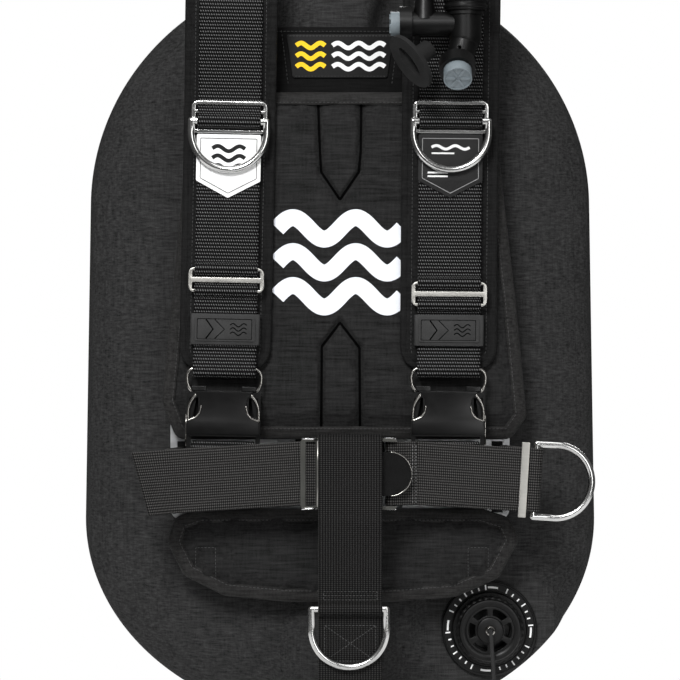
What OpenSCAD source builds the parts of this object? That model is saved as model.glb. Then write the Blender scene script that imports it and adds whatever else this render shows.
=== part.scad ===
// Back-mounted buoyancy compensator: steel backplate, ring-shaped air cell, webbing harness,
// back, shoulder and lumbar pads, power inflator, dump valve and two tank bands.
// X is to the wearer's left, Y is backwards towards the tank, Z is up. The wearer's side faces -Y.
// The origin is midway between the backplate's two bolt holes, on the plate's back face.

/* [Webbing] */
// Width of all harness webbing
web_w = 50; // [48:0.5:51]
// Thickness of the harness webbing
web_t = 2.2; // [1.8:0.1:2.4]

/* [Backplate] */
// Distance between the two bolt holes
bolt_gap = 279.4; // [270:0.1:284]
// Radius of a bolt hole
bolt_r = 5.25; // [4.5:0.05:5.8]
// Thickness of the steel plate
plate_t = 3; // [2:0.1:3]

/* [Air cell] */
// Half width of the air cell at its shoulders
cell_half_top = 203; // [195:1:210]
// Half width of the air cell at its hips
cell_half_bottom = 207; // [198:1:214]
// How far the front bulges when inflated
cell_front = 20; // [12:1:21]
// How far the back bulges when inflated
cell_back = 36; // [24:1:40]

/* [Harness] */
// Centre of the left shoulder strap, at half height
strap_x_left = 86.1; // [85:0.1:87]
// Centre of the right shoulder strap, at half height
strap_x_right = -91; // [-92:0.1:-90]
// Outer width of the shoulder D-rings
ring_w = 65; // [64:0.5:66]
// Radius of the D-rings' wire
wire_r = 2.75; // [2.5:0.05:2.75]

/* [Tank] */
// Radius of the tank that the bands hold
tank_r = 92; // [90:0.5:92]

/* [Hidden] */
$fn = 48;

cloth_black = [0.07, 0.07, 0.08];
webbing_black = [0.11, 0.11, 0.12];
rubber_grey = [0.2, 0.2, 0.21];
steel = [0.78, 0.78, 0.77];
button_grey = [0.52, 0.56, 0.59];
plastic_black = [0.09, 0.09, 0.1];

// ---- Depth of each layer, from the plate forwards (-Y) ----
plate_front = -25;              // wearer's face of the plate's flat flanks
plate_back = plate_front + plate_t;
channel_half = 25;              // flat bottom of the channel that the tank lies behind
flank_x = 50;                   // where the sloping channel walls meet the flanks
pad_back = -29;                 // back pad
pad_front = -46;
under_y = -50.7;                // middle of the shoulder pad below the collar bone
under_t = 7.4;
tail_y = -57.7;                 // strap tail doubled back behind the strap
strap_y = -60.3;                // shoulder strap
strap_front = strap_y - web_t / 2;
hook_y = -58.6;                 // bars of the shoulder buckles
belt_z = -105.5;                // middle of the waist belt
crotch_x = 8;                   // middle of the crotch strap

// ---- Points and outlines ----
function unit(v) = v / norm(v);
function lerp(a, b, t) = a + (b - a) * t;
function clamp01(t) = min(1, max(0, t));
function smooth(t) = let (c = clamp01(t)) c * c * (3 - 2 * c);
function arc(c, r, a0, a1, n) = [for (i = [0:n]) c + r * [cos(lerp(a0, a1, i / n)), sin(lerp(a0, a1, i / n))]];
function normal_at(p, i) =
    let (d = unit(p[min(i + 1, len(p) - 1)] - p[max(i - 1, 0)])) [-d[1], d[0]];
// Closed outline of a band of thickness t along the open path p
function ribbon(p, t) = concat(
    [for (i = [0:len(p) - 1]) p[i] + normal_at(p, i) * t / 2],
    [for (i = [len(p) - 1:-1:0]) p[i] - normal_at(p, i) * t / 2]);
// One corner b of an outline, between a and c, rounded to radius r
function corner(a, b, c, r, n = 5) =
    let (u = unit(a - b), v = unit(c - b), half = acos(u * v) / 2,
        mid = b + unit(u + v) * r / sin(half), s = b + u * r / tan(half) - mid,
        e = b + v * r / tan(half) - mid, a0 = atan2(s[1], s[0]),
        turn = (atan2(e[1], e[0]) - a0 + 540) % 360 - 180)
    arc(mid, r, a0, a0 + turn, n);
function rounded(p, r) = [for (i = [0:len(p) - 1])
    each corner(p[(i + len(p) - 1) % len(p)], p[i], p[(i + 1) % len(p)], r)];
function backwards(p) = [for (i = [len(p) - 1:-1:0]) p[i]];

// A strap whose path is drawn in (y, z), centred on x = 0
module strap_yz(path, width, t) {
    rotate([90, 0, 90]) linear_extrude(height = width, center = true) polygon(ribbon(path, t));
}
// A strap whose path is drawn in (x, y), centred on z = 0
module strap_xy(path, width, t) {
    linear_extrude(height = width, center = true) polygon(ribbon(path, t));
}
// A plate whose outline is drawn in (x, z), from y0 back to y1
module plate_xz(outline, y0, y1) {
    translate([0, y1, 0]) rotate([90, 0, 0]) linear_extrude(height = y1 - y0) polygon(outline);
}
module box(lo, hi) { translate(lo) cube(hi - lo); }
// A cylinder along Y from y0 back to y1
module rod_y(x, z, r, y0, y1) { translate([x, y0, z]) rotate([-90, 0, 0]) cylinder(r = r, h = y1 - y0); }
module rod_z(x, y, r, z0, z1) { translate([x, y, z0]) cylinder(r = r, h = z1 - z0); }

// The shoulder straps lean a little, like a real pair hanging from the shoulders
lean_left = 0.5;
lean_right = 1.15;
module on_left() { translate([strap_x_left, 0, 0]) rotate([0, lean_left, 0]) children(); }
module on_right() { translate([strap_x_right, 0, 0]) rotate([0, lean_right, 0]) children(); }

// ---- Backplate ----
plate_top = 198;
plate_dip = 168;
plate_low = -168;
plate_half = 136;
slot_z = 183;                   // shoulder strap slots
lower_slot_z = -112;            // lower strap slots
lower_slot_x = [-93.2, 85];     // where the lower straps pass the plate
waist_slot_x = 126;             // waist belt slots
waist_slot_z = -110.5;
crotch_slot_z = -156;
band_z = 75;                    // tank bands, above and below the origin
band_slot_x = 30.5;

function plate_profile(y) = [[-plate_half, y - 22], [-flank_x, y - 22], [-channel_half, y],
    [channel_half, y], [flank_x, y - 22], [plate_half, y - 22]];
module backplate() {
    color(steel) difference() {
        intersection() {
            translate([0, 0, plate_low - 5]) linear_extrude(height = plate_top - plate_low + 10)
                polygon(concat(plate_profile(0), backwards(plate_profile(-plate_t))));
            plate_xz(rounded([[-118, plate_top], [-62, plate_top], [-34, plate_dip],
                [34, plate_dip], [62, plate_top], [118, plate_top], [120, 40], [plate_half, -70],
                [plate_half, -140], [104, plate_low], [-104, plate_low], [-plate_half, -140],
                [-plate_half, -70], [-120, 40]], 9), -40, 10);
        }
        for (s = [-1, 1]) {
            rod_y(0, s * bolt_gap / 2, bolt_r, -10, 10);
            box([s * 87.5 - 27, -40, slot_z - 5], [s * 87.5 + 27, 0, slot_z + 5]);
            box([s * waist_slot_x - 4.5, -40, waist_slot_z - 28.5], [s * waist_slot_x + 4.5, 0, waist_slot_z + 28.5]);
            for (b = [-1, 1])
                box([s * band_slot_x - 5.5, -20, b * band_z - 27], [s * band_slot_x + 5.5, 5, b * band_z + 27]);
        }
        for (x = lower_slot_x) box([x - 25.6, -40, lower_slot_z - 6], [x + 25.6, 0, lower_slot_z + 6]);
        box([crotch_x - 26, -20, crotch_slot_z - 4], [crotch_x + 26, 10, crotch_slot_z + 4]);
    }
}

// ---- Air cell: a ring-shaped cell between an inner and an outer seam ----
tank_y = 98;
cap_n = 30;                     // steps round each end of the ring
rows = 12;                      // steps from the inner seam to the outer one
outer_top = [0, 108]; outer_rise = 194;
outer_bottom = [0, -146]; outer_drop = 167;
inner_half = 56;
inner_top = [0, 130]; inner_rise = 66;
inner_bottom = [0, -125]; inner_drop = 55;
seat_elbow = [72, 250, 36];     // x, z and radius of the flat round the elbow and the hose's end
seat_valve = [120.5, -234, 50]; // and round the dump valve
elbow_hole = [72, 243];
front_limit = -24.6;            // the front is pressed flat against the plate and the neck panel
bladder_inset = 5.5;            // how far inside the outer cloth the bladder lies
seat_elbow_y = -4.6;
seat_valve_y = -5;

function half_ring(a, half, c, height) = c + [half * cos(a), height * sin(a)];
function ring_points(ht, hb, ct, rise, cb, drop) = concat(
    [for (i = [0:cap_n]) half_ring(180 * i / cap_n, ht, ct, rise)],
    [for (i = [0:cap_n]) half_ring(180 + 180 * i / cap_n, hb, cb, drop)]);
outer_seam = ring_points(cell_half_top, cell_half_bottom, outer_top, outer_rise, outer_bottom, outer_drop);
inner_seam = ring_points(inner_half, inner_half, inner_top, inner_rise, inner_bottom, inner_drop);
// Front of the tank at x, and the depth of a seam there
function tank_face(x) = abs(x) < tank_r ? tank_y - sqrt(tank_r * tank_r - x * x) : tank_y;
function seam_depth(x, free) = min(free, tank_face(x) - 13);
function puff(u) = pow(max(0, 1 - pow(abs(2 * u - 1), 2.6)), 0.55);
function seat_pull(x, z, seat) = smooth((seat[2] + 16 - norm([x - seat[0], z - seat[1]])) / 14);
// A point of the cell's skin: u runs from the inner to the outer seam, side is -1 front or 1 back,
// and inset is how far inside the outer cloth it lies
function skin(i, u, side, inset) =
    let (pi = inner_seam[i], po = outer_seam[i], edge = (inset + 0.5) / norm(po - pi),
        v = inset > 0 ? lerp(edge, 1 - edge, u) : u, p = lerp(pi, po, v),
        mid = min(lerp(seam_depth(pi[0], 2), seam_depth(po[0], 18), v), tank_face(p[0]) - 13),
        free = side < 0 ? max(mid - (cell_front - inset) * puff(u), front_limit + 1.2 * inset)
            : min(mid + (cell_back - inset) * puff(u), tank_face(p[0]) - 3 - 1.5 * inset),
        at_seam = u < 0.001 || u > 0.999 ? 0 : 1,
        pull_e = at_seam * seat_pull(p[0], p[1], seat_elbow),
        pull_v = at_seam * seat_pull(p[0], p[1], seat_valve),
        y = side > 0 ? free : lerp(lerp(free, seat_elbow_y + inset, pull_e), seat_valve_y + inset, pull_v))
    [p[0], y, p[1]];
row_u = [0, 0.04, 0.12, 0.22, 0.33, 0.44, 0.55, 0.66, 0.76, 0.85, 0.92, 0.97, 1];
// One half of a hollow ring: an outer skin and an inner one, thick apart
module half_shell(side, inset, thick) {
    n = len(outer_seam);
    m = 2 * (rows + 1);
    pts = [for (i = [0:n - 1]) each concat(
        [for (k = [0:rows]) skin(i, row_u[k], side, inset)],
        [for (k = [rows:-1:0]) skin(i, row_u[k], side, inset + thick)])];
    faces = [for (i = [0:n - 1]) for (k = [0:m - 1]) each
        let (a = i * m + k, b = i * m + (k + 1) % m, c = ((i + 1) % n) * m + (k + 1) % m,
            d = ((i + 1) % n) * m + k)
        side < 0 ? [[a, c, b], [a, d, c]] : [[a, b, c], [a, c, d]]];
    polyhedron(points = pts, faces = faces, convexity = 8);
}
module wing_shell_front() {
    color(cloth_black) difference() {
        half_shell(-1, 0, 1.6);
        rod_y(elbow_hole[0], elbow_hole[1], 16, -30, 0);
        rod_y(seat_valve[0], seat_valve[1], 21, -30, 0);
    }
}
module wing_shell_back() { color(cloth_black) half_shell(1, 0, 1.6); }
module bladder_front() {
    color([0.25, 0.27, 0.3]) difference() {
        half_shell(-1, bladder_inset, 0.8);
        rod_y(elbow_hole[0], elbow_hole[1], 16, -30, 3);
        rod_y(seat_valve[0], seat_valve[1], 21, -30, 3);
    }
}
module bladder_back() { color([0.25, 0.27, 0.3]) half_shell(1, bladder_inset, 0.8); }

panel_y = [1, 3];
module wing_center_panel() {
    color(cloth_black) difference() {
        plate_xz(ring_points(inner_half - 2, inner_half - 2, inner_top, inner_rise - 8,
            inner_bottom, inner_drop - 2), panel_y[0], panel_y[1]);
        for (s = [-1, 1]) {
            rod_y(0, s * bolt_gap / 2, 7.5, -5, 10);
            for (b = [-1, 1]) box([s * 34 - 6.5, -5, b * band_z - 27], [s * 34 + 6.5, 10, b * band_z + 27]);
        }
        // Opening for the crotch strap's end
        box([crotch_x - 27, -5, -190], [crotch_x + 27, 10, crotch_slot_z + 4]);
    }
}
module wing_grommets() {
    color(steel) for (s = [-1, 1]) difference() {
        union() {
            rod_y(0, s * bolt_gap / 2, 10.5, 0.15, panel_y[0] - 0.05);
            rod_y(0, s * bolt_gap / 2, 7.3, 0.5, 3.5);
            rod_y(0, s * bolt_gap / 2, 10.5, panel_y[1] + 0.05, 3.9);
        }
        rod_y(0, s * bolt_gap / 2, 6.2, -5, 10);
    }
}

// ---- Pads ----
module back_pad() {
    color(cloth_black) plate_xz(rounded([[-112, 196], [112, 196], [127, 137], [139, 33], [148, -62],
        [136, -79], [-130, -79], [-141, -50], [-124, 129]], 7), pad_front, pad_back);
}
module neck_panel() {
    color(cloth_black) plate_xz(rounded([[-58, 160], [58, 160], [60, 200], [54, 250], [-54, 250],
        [-60, 200]], 5), -28.4, -25.4);
}
module neck_label() {
    color([0.85, 0.7, 0.1]) plate_xz(rounded([[-43, 244], [43, 244], [38, 209], [-38, 209]], 2),
        -29.8, -28.6);
}
module lumbar_pad() {
    color(cloth_black) plate_xz(rounded([[-112, -136], [112, -136], [134, -143], [142, -160], [126, -190],
        [92, -205], [40, -209], [-40, -209], [-92, -204], [-124, -188], [-137, -162], [-131, -143]], 7),
        pad_front, pad_back);
}

// ---- Shoulder straps ----
apex_y = -59;
apex_z = 300;
high_y = -71;                   // strap over the chest side of the shoulder
slider_z = 172;                 // bar of the shoulder D-ring
ring_y = -66.4;
upper_bar_z = -26;              // bar of the buckle's upper half
lower_bar_z = -85.5;            // bar of the buckle's lower half
triglide_y = [-63.9, -61.7];
wrap_r = 2.5 + 0.3 + web_t / 2; // webbing round a buckle bar

function over_ring(y, z) = arc([y, z], wire_r + 0.35 + web_t / 2, 110, 262, 8);
// Half of the way through a triglide, from its middle: behind the middle bar and over an outer one
triglide_half = [[strap_y, 1], [-60.35, 2.2], [-61.1, 3.25], [-64.9, 6.6], [-65.35, 7.9], [-65.35, 9.3],
    [-64.95, 10.7], [-63.4, 11.8], [-61, 12.7], [strap_y, 13.6]];
function over_triglide(z) = concat(
    [for (p = backwards(triglide_half)) [p[0], z + p[1]]], [for (p = triglide_half) [p[0], z - p[1]]]);
function shoulder_path(triglide_z) = concat(
    [[-19.6, 120], [-19.6, 170], [-20, 177], [-22, 181.5], [-25, 184.2], [-27, 187], [-27.6, 191],
        [-27.7, 198], [-31, 205], [-44, 231], [-46.6, 240], [-47, 250]],
    arc([apex_y, apex_z], 12, 0, 180, 12),
    [[high_y, 262], [-70.4, 254], [-61.4, 204], [strap_y, 196], [strap_y, 185.2], [-61, 184],
        [-62.5, 183.1], [-64.2, 182.1], [-65.2, 180.2], [-66, 178]],
    over_ring(ring_y, slider_z),
    [[-63.4, 167.7], [-61.6, 167.2], [strap_y, 165.6], [strap_y, 160]],
    over_triglide(triglide_z),
    [[strap_y, -12], [-61.4, -18]],
    arc([hook_y, upper_bar_z], wrap_r, 180, 360, 10),
    [[-55.4, -20], [-57.3, -14], [tail_y, -8], [tail_y, 60]]);
module shoulder_webbing(triglide_z) {
    color(webbing_black) strap_yz(shoulder_path(triglide_z), web_w, web_t);
}
// The pad lines the strap's inner side, over the shoulder and down to its rounded end
pad_path = concat([[-52.7, 246]], arc([apex_y, apex_z], 6.3, 0, 180, 10),
    [[-65.3, 264], [-64.6, 256], [-52.2, 200], [under_y, 188], [under_y, -22]]);
module shoulder_pad(width) {
    w = width / 2;
    color(cloth_black) intersection() {
        strap_yz(pad_path, width, under_t);
        plate_xz(concat([[-w, 330], [-w, -4]], arc([-w + 16, -4], 16, 180, 245, 5),
            arc([w - 16, -4], 16, 295, 360, 5), [[w, 330]]), -90, -40);
    }
}
triglide_z_left = 35.5;
triglide_z_right = 46.6;

// A flat slide: outer bars top and bottom, a middle bar, and the webbing through its slots
module flat_slide(width, z0, z1, bars, y0, y1) {
    w = width / 2;
    difference() {
        plate_xz(rounded([[-w, z1], [w, z1], [w, z0], [-w, z0]], 5), y0, y1);
        for (i = [0:len(bars) - 2])
            box([-w + 3.2, y0 - 1, bars[i][1]], [w - 3.2, y1 + 1, bars[i + 1][0]]);
    }
}
module triglide(z) {
    color(steel) flat_slide(60, z - 9.8, z + 9.8,
        [[z - 9.8, z - 7.4], [z - 2.1, z + 2.1], [z + 7.4, z + 9.8]], triglide_y[0], triglide_y[1]);
}
module shoulder_slider() {
    color(steel) flat_slide(60, 162.6, 188.2,
        [[162.6, 165.5], [178.2, 181], [185.2, 188.2]], -63.4, -61.6);
}
// A D-ring: its bar along X through the origin, its bow hanging down to depth h
module d_ring(w, h, r) {
    major = w / 2 - r;
    side = h - major - r;
    color(steel) union() {
        rotate([0, 90, 0]) cylinder(r = r, h = 2 * major, center = true);
        for (s = [-1, 1]) translate([s * major, 0, 0]) {
            sphere(r = r);
            translate([0, 0, -side]) cylinder(r = r, h = side);
        }
        translate([0, 0, -side]) rotate([-90, 0, 0]) rotate_extrude(angle = 180)
            translate([major, 0]) circle(r = r);
    }
}
module shoulder_ring() { translate([0, ring_y, slider_z]) d_ring(ring_w, 41, wire_r); }
module ring_patch(tint) {
    color(tint) plate_xz(rounded([[-25.5, 161.8], [25.5, 161.8], [25.5, 125], [0, 111.5],
        [-25.5, 125]], 1.5), -62.8, strap_front - 0.2);
}
// A rubber band round the strap and its tail
module keeper(z) {
    color(rubber_grey) difference() {
        union() {
            box([-27.5, -64, z - 12.2], [27.5, -54.8, z + 12.2]);
            box([-24, -64.8, z - 9.5], [24, -63, z + 9.5]);
        }
        box([-25.5, -61.8, z - 20], [25.5, -56.3, z + 20]);
    }
}

// ---- Side-release buckles between the shoulder and lower straps ----
house_y = [-64.6, -52.6];
house_z = [-77, -42];
house_half = 29.2;
tab_pivot = [24.4, -45];        // x and z of each tab's pin
pin_r = 1.2;
module buckle_upper() {
    color(plastic_black) union() {
        translate([0, hook_y, upper_bar_z]) rotate([0, 90, 0]) cylinder(r = 2.5, h = 55, center = true);
        for (s = [-1, 1]) {
            plate_xz(rounded([[s * 25.8, -22], [s * 29, -24], [s * 29, -41.4], [s * 25.8, -41.4]], 0.8),
                hook_y - 3.5, hook_y + 3.5);
            rod_y(s * tab_pivot[0], tab_pivot[1], pin_r, hook_y - 3.2, hook_y + 3.2);
            // Lug above the pin, beside the tab
            for (y = [hook_y - 4.4, hook_y + 3.2])
                box([s * tab_pivot[0] - 2, y, -47.2], [s * tab_pivot[0] + 2, y + 1.2, -38]);
        }
        box([-29, hook_y - 3.5, -41.4], [29, hook_y + 3.5, -37.4]);
        box([-14, hook_y - 2.5, -71], [14, hook_y + 2.5, -41.4]);
    }
}
module buckle_lower() {
    color(plastic_black) difference() {
        union() {
            plate_xz(rounded([[-house_half, house_z[1]], [house_half, house_z[1]],
                [house_half, house_z[0]], [-house_half, house_z[0]]], 3), house_y[0], house_y[1]);
            for (s = [-1, 1]) plate_xz(rounded([[s * 25.6, -75], [s * house_half, -75],
                [s * house_half, -87], [s * 27.4, -89], [s * 25.6, -88]], 0.8), hook_y - 3.5, hook_y + 3.5);
            translate([0, hook_y, lower_bar_z]) rotate([0, 90, 0]) cylinder(r = 2.5, h = 54, center = true);
        }
        // Socket for the tongue and the tabs, open at the top
        box([-27.2, hook_y - 4.6, -73], [27.2, hook_y + 4.6, -30]);
        for (s = [-1, 1]) {
            // Opening in the side for the tab, and the window in the front
            box([s * 28.5 - 3, hook_y - 4.6, -64], [s * 28.5 + 3, hook_y + 4.6, -30]);
            box([s * 23.6 - 3.6, -70, -61.5], [s * 23.6 + 3.6, hook_y, -46.5]);
        }
    }
}
// A squeeze tab hangs from its pin and springs outwards; side is 1 or -1
module buckle_tab(side) {
    color(rubber_grey) difference() {
        union() {
            plate_xz(rounded([[side * 21.6, -43], [side * 27, -43], [side * 28.4, -48],
                [side * 28.4, -62], [side * 24.5, -63], [side * 22.2, -50]], 0.8),
                hook_y - 3, hook_y + 3);
        }
        rod_y(side * tab_pivot[0], tab_pivot[1], pin_r + 0.15, -70, -40);
    }
}
// The lower strap comes up from the plate's slot, round the bar and down again
lower_path = concat([[-19.6, -160], [-19.6, -122], [-20.6, -116], [-23.5, -112.4], [-27.4, -110.5],
        [-34, -107], [-50, -96.5], [-53.4, -92]],
    arc([hook_y, lower_bar_z], wrap_r, 0, 180, 10), [[-62.5, -92], [-61.6, -100], [-58.8, -106]]);
module lower_webbing() {
    color(webbing_black) {
        on_left() strap_yz(lower_path, web_w, web_t);
        on_right() strap_yz(lower_path, web_w, web_t);
    }
}

// ---- Waist belt ----
belt_lean = 3.5;                // each half droops this much, beyond the buckle
lean_from_left = 62;            // x where the left half starts to droop
lean_from_right = -31;
waist_ring = [153.5, -76];      // x and y of the waist D-ring's bar
frame_bar = [40, -84];          // buckle bar that the left half is sewn round
middle_bar = [0, -82.4];        // buckle bar that the right half turns round
bar_r = 2.1;
module on_belt(x, lean) { translate([x, 0, belt_z]) rotate([0, lean, 0]) translate([-x, 0, 0]) children(); }
left_belt_outer = concat([[88, -16.6], [120, -16.6], [123.4, -18.4], [125.4, -22], [126.6, -26],
        [130, -33], [148, -63], [152.5, -70.2]],
    arc(waist_ring, wire_r + 0.35 + web_t / 2, 80, -90, 9), [[146, -80.2], [60, -80.2]]);
left_belt_inner = concat([[66, -80.2]], arc(frame_bar, bar_r + 0.4 + web_t / 2, 90, 270, 8),
    [[46, -86.4], [52, -83], [64, -82.6]]);
module waist_webbing_left() {
    color(webbing_black) union() {
        on_belt(lean_from_left, belt_lean) strap_xy(left_belt_outer, web_w, web_t);
        translate([0, 0, belt_z]) strap_xy(left_belt_inner, web_w, web_t);
    }
}
right_belt_rear = concat([[-88, -16.6], [-120, -16.6], [-123.4, -18.4], [-125.4, -22], [-126.6, -26],
        [-129.6, -33], [-136, -52], [-137, -62], [-133, -71], [-124, -76.6], [-110, -78.9], [-29, -78.9]]);
right_belt_turn = concat([[-35, -78.9]], arc(middle_bar, bar_r + 0.3 + web_t / 2, 90, -90, 8), [[-35, -85.9]]);
right_belt_end = [[-29, -85.9], [-60, -85.9], [-100, -86.4], [-130, -89], [-150, -94], [-158, -98]];
module waist_webbing_right() {
    color(webbing_black) difference() {
        union() {
            on_belt(lean_from_right, -belt_lean) {
                strap_xy(right_belt_rear, web_w, web_t);
                strap_xy(right_belt_end, web_w, web_t);
            }
            translate([0, 0, belt_z]) strap_xy(right_belt_turn, web_w - 0.4, web_t + 0.1);
        }
        // The free end is cut on a slant
        on_belt(lean_from_right, -belt_lean)
            translate([-158.5, -105, 0]) rotate([0, -12, 0]) translate([-20, 0, -40]) cube([20, 30, 80]);
    }
}
module waist_buckle_frame() {
    color(steel) difference() {
        union() {
            plate_xz(rounded([[-31, belt_z + 28], [45, belt_z + 28], [45, belt_z - 28],
                [-31, belt_z - 28]], 4), -89.6, -87.4);
            // Side cheeks that carry the bars and the lever's pin
            for (s = [-1, 1]) box([-13, -93.4, belt_z + s * 26.6 - 1.4], [43, -79.8, belt_z + s * 26.6 + 1.4]);
            rod_z(frame_bar[0], frame_bar[1], bar_r, belt_z - 27, belt_z + 27);
            rod_z(middle_bar[0], middle_bar[1], bar_r, belt_z - 27, belt_z + 27);
            rod_z(-10, -91.4, 1.4, belt_z - 27, belt_z + 27);
        }
        box([-27, -95, belt_z - 25.2], [-19, -86, belt_z + 25.2]);
        box([-14.5, -90, belt_z - 25.2], [-11.6, -86, belt_z + 25.2]);
        difference() {
            box([-12, -90, belt_z - 25.2], [50, -86, belt_z + 25.2]);
            rod_z(-10, -91.4, 1.4, belt_z - 27, belt_z + 27);
        }
    }
}
module waist_buckle_lever() {
    color(plastic_black) difference() {
        union() {
            rod_z(-10, -91.4, 3, belt_z - 24.6, belt_z + 24.6);
            plate_xz(concat([[-10, belt_z + 20], [-10, belt_z - 20]],
                arc([39, belt_z - 0], 17, -90, 90, 12)), -94.4, -91.9);
        }
        rod_z(-10, -91.4, 1.5, belt_z - 30, belt_z + 30);
    }
}
module waist_ring_loop() {
    color(steel) on_belt(lean_from_left, belt_lean) difference() {
        box([141.5, -84.4, -29.5], [147.5, -76.6, 29.5]);
        box([130, -82, -26], [160, -78.6, 26]);
    }
}
module waist_ring() {
    on_belt(lean_from_left, belt_lean) translate([waist_ring[0], waist_ring[1], 0]) rotate([0, -90, 0]) d_ring(63, 47.5, wire_r);
}

// ---- Crotch strap ----
crotch_ring_y = -95.5;
crotch_ring_z = -211;
crotch_path = concat([[1.7, -167], [1.7, -161], [0.4, -157.6], [-3, -156], [-20, -154.6], [-25, -157],
        [-26.6, -163], [-26.6, -250]],
    arc([-58, -313], 31.6, 0, -180, 14), [[-90.4, -300], [-90.6, -220], [-91.4, -215.8]],
    arc([crotch_ring_y, crotch_ring_z], wire_r + 0.35 + web_t / 2, 250, 110, 8),
    [[-92, -206], [-91.6, -200], [-93, -190], [-102.6, -142], [-103, -134], [-103, -85], [-102, -79],
        [-98.5, -75.9], [-94, -75.4], [-80, -75.4], [-77, -76.6], [-75, -80], [-74.6, -86],
        [-74.6, -136], [-75.4, -144], [-88, -196], [-88.4, -207]]);
module crotch_strap() {
    color(webbing_black) translate([crotch_x, 0, 0]) strap_yz(crotch_path, web_w, web_t);
}
module crotch_ring() {
    translate([crotch_x - 1, crotch_ring_y, crotch_ring_z]) d_ring(64, 48, wire_r);
}

// ---- Inflator and its hose ----
hose_r = 14.5;
hose_path = [[72, -24, 266], [72, -24, 280], [72, -24, 294], [73, -25, 307], [75, -30, 319],
    [79, -39, 329], [84, -50, 335], [89, -61, 336], [94, -73, 333], [97, -83, 324], [98, -89, 311],
    [98, -91, 298], [98, -91, 285], [98, -91, 272]];
function along(p, i) = unit(p[min(i + 1, len(p) - 1)] - p[max(i - 1, 0)]);
// A solid tube of n sides swept along the points p; its rings keep the direction ref to one side
module swept_tube(p, r, n, ref) {
    pts = [for (i = [0:len(p) - 1]) each
        let (d = along(p, i), u = unit(cross(d, ref)), v = cross(d, u))
        [for (k = [0:n - 1]) p[i] + r * (u * cos(360 * k / n) + v * sin(360 * k / n))]];
    last = len(p) - 1;
    faces = concat([[for (k = [0:n - 1]) k]],
        [for (i = [0:last - 1]) for (k = [0:n - 1]) each
            let (a = i * n + k, b = i * n + (k + 1) % n, c = b + n, d = a + n)
            [[a, c, b], [a, d, c]]],
        [[for (k = [n - 1:-1:0]) last * n + k]]);
    polyhedron(points = pts, faces = faces, convexity = 6);
}
module corrugated_hose() { color(rubber_grey) swept_tube(hose_path, hose_r, 14, [1, 0.2, 0]); }
module hose_elbow() {
    color(plastic_black) difference() {
        union() {
            rod_y(72, 243, 22, seat_elbow_y - 4, seat_elbow_y - 1);
            rod_y(72, 243, 15, seat_elbow_y - 8, seat_elbow_y + 8);
            rod_y(72, 243, 21, seat_elbow_y + 7.2, seat_elbow_y + 9.6);
            translate([72, -24, 243]) sphere(r = 12.5);
            rod_y(72, 243, 12.5, -24, -10);
            rod_z(72, -24, 12.5, 243, 265.6);
        }
        rod_y(72, 243, 9.5, -24, 10);
        rod_z(72, -24, 9.5, 243, 280);
    }
}
module cuff(x, y, z0, z1, inner) {
    difference() {
        union() {
            rod_z(x, y, 16.4, z0, z1);
            for (i = [0:2]) rod_z(x, y, 17.4, z0 + 2 + i * 4.6, z0 + 4.4 + i * 4.6);
        }
        rod_z(x, y, inner, z0 - 1, z1 + 1);
    }
}
module hose_cuffs() {
    color(plastic_black) {
        cuff(72, -24, 266.6, 281.6, 14.8);
        cuff(98, -91, 256.6, 272, 14.8);
    }
}
branch_z = 246.5;
tube_x = 98;
tube_y = -91;
head = [91.5, -96, 216];        // where the lower tube turns to the deflate button
push = [0, -sqrt(0.5), -sqrt(0.5)];
module toward_button() { translate(head) rotate([135, 0, 0]) children(); }
module inflator_body() {
    color(plastic_black) difference() {
        union() {
            rod_z(tube_x, tube_y, 14.2, 253.4, 271.4);
            rod_z(tube_x, tube_y, 12.6, 236, 254);
            translate([tube_x, tube_y, 236.5]) sphere(r = 12.6);
            translate([93, -95, 216]) rotate([-8, 13, 0]) cylinder(r = 10.6, h = 22);
            translate([55, tube_y, branch_z]) rotate([0, 90, 0]) cylinder(r = 9.2, h = 42);
            translate([46.6, tube_y, branch_z]) rotate([0, 90, 0]) cylinder(r = 13.6, h = 9.6);
            translate([66, tube_y, 250]) cylinder(r1 = 9.4, r2 = 6.6, h = 17.6);
            translate(head) sphere(r = 12);
            toward_button() cylinder(r = 14.2, h = 11);
        }
        // Bores for the two buttons
        translate([40, tube_y, branch_z]) rotate([0, 90, 0]) cylinder(r = 9.6, h = 14);
        toward_button() translate([0, 0, 3]) cylinder(r = 11.4, h = 20);
        // Gas way from the hose down to the branch
        rod_z(tube_x, tube_y, 9, 246, 280);
        // Lanyard hole
        translate([93, -120, 227]) rotate([-90, 0, 0]) cylinder(r = 1.6, h = 22);
    }
}
module inflate_button() {
    color(button_grey) union() {
        translate([39.6, tube_y, branch_z]) rotate([0, 90, 0]) cylinder(r = 9.3, h = 10);
        for (i = [0:5]) translate([39.6, tube_y, branch_z]) rotate([60 * i, 0, 0])
            box([-0.9, -0.9, 2], [0.3, 0.9, 7.4]);
    }
}
module deflate_button() {
    color(button_grey) toward_button() union() {
        translate([0, 0, 7.4]) cylinder(r = 11.1, h = 12);
        for (i = [0:5]) rotate([0, 0, 60 * i]) box([2, -1, 19], [9.6, 1, 20.2]);
        difference() {
            translate([0, 0, 19]) cylinder(r = 11.1, h = 1.2);
            translate([0, 0, 18]) cylinder(r = 9.9, h = 4);
        }
    }
}
mouth = [55, -112, 215.5];
module at_mouth() { translate(mouth) rotate([140.5, 54.1, 0]) children(); }
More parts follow.
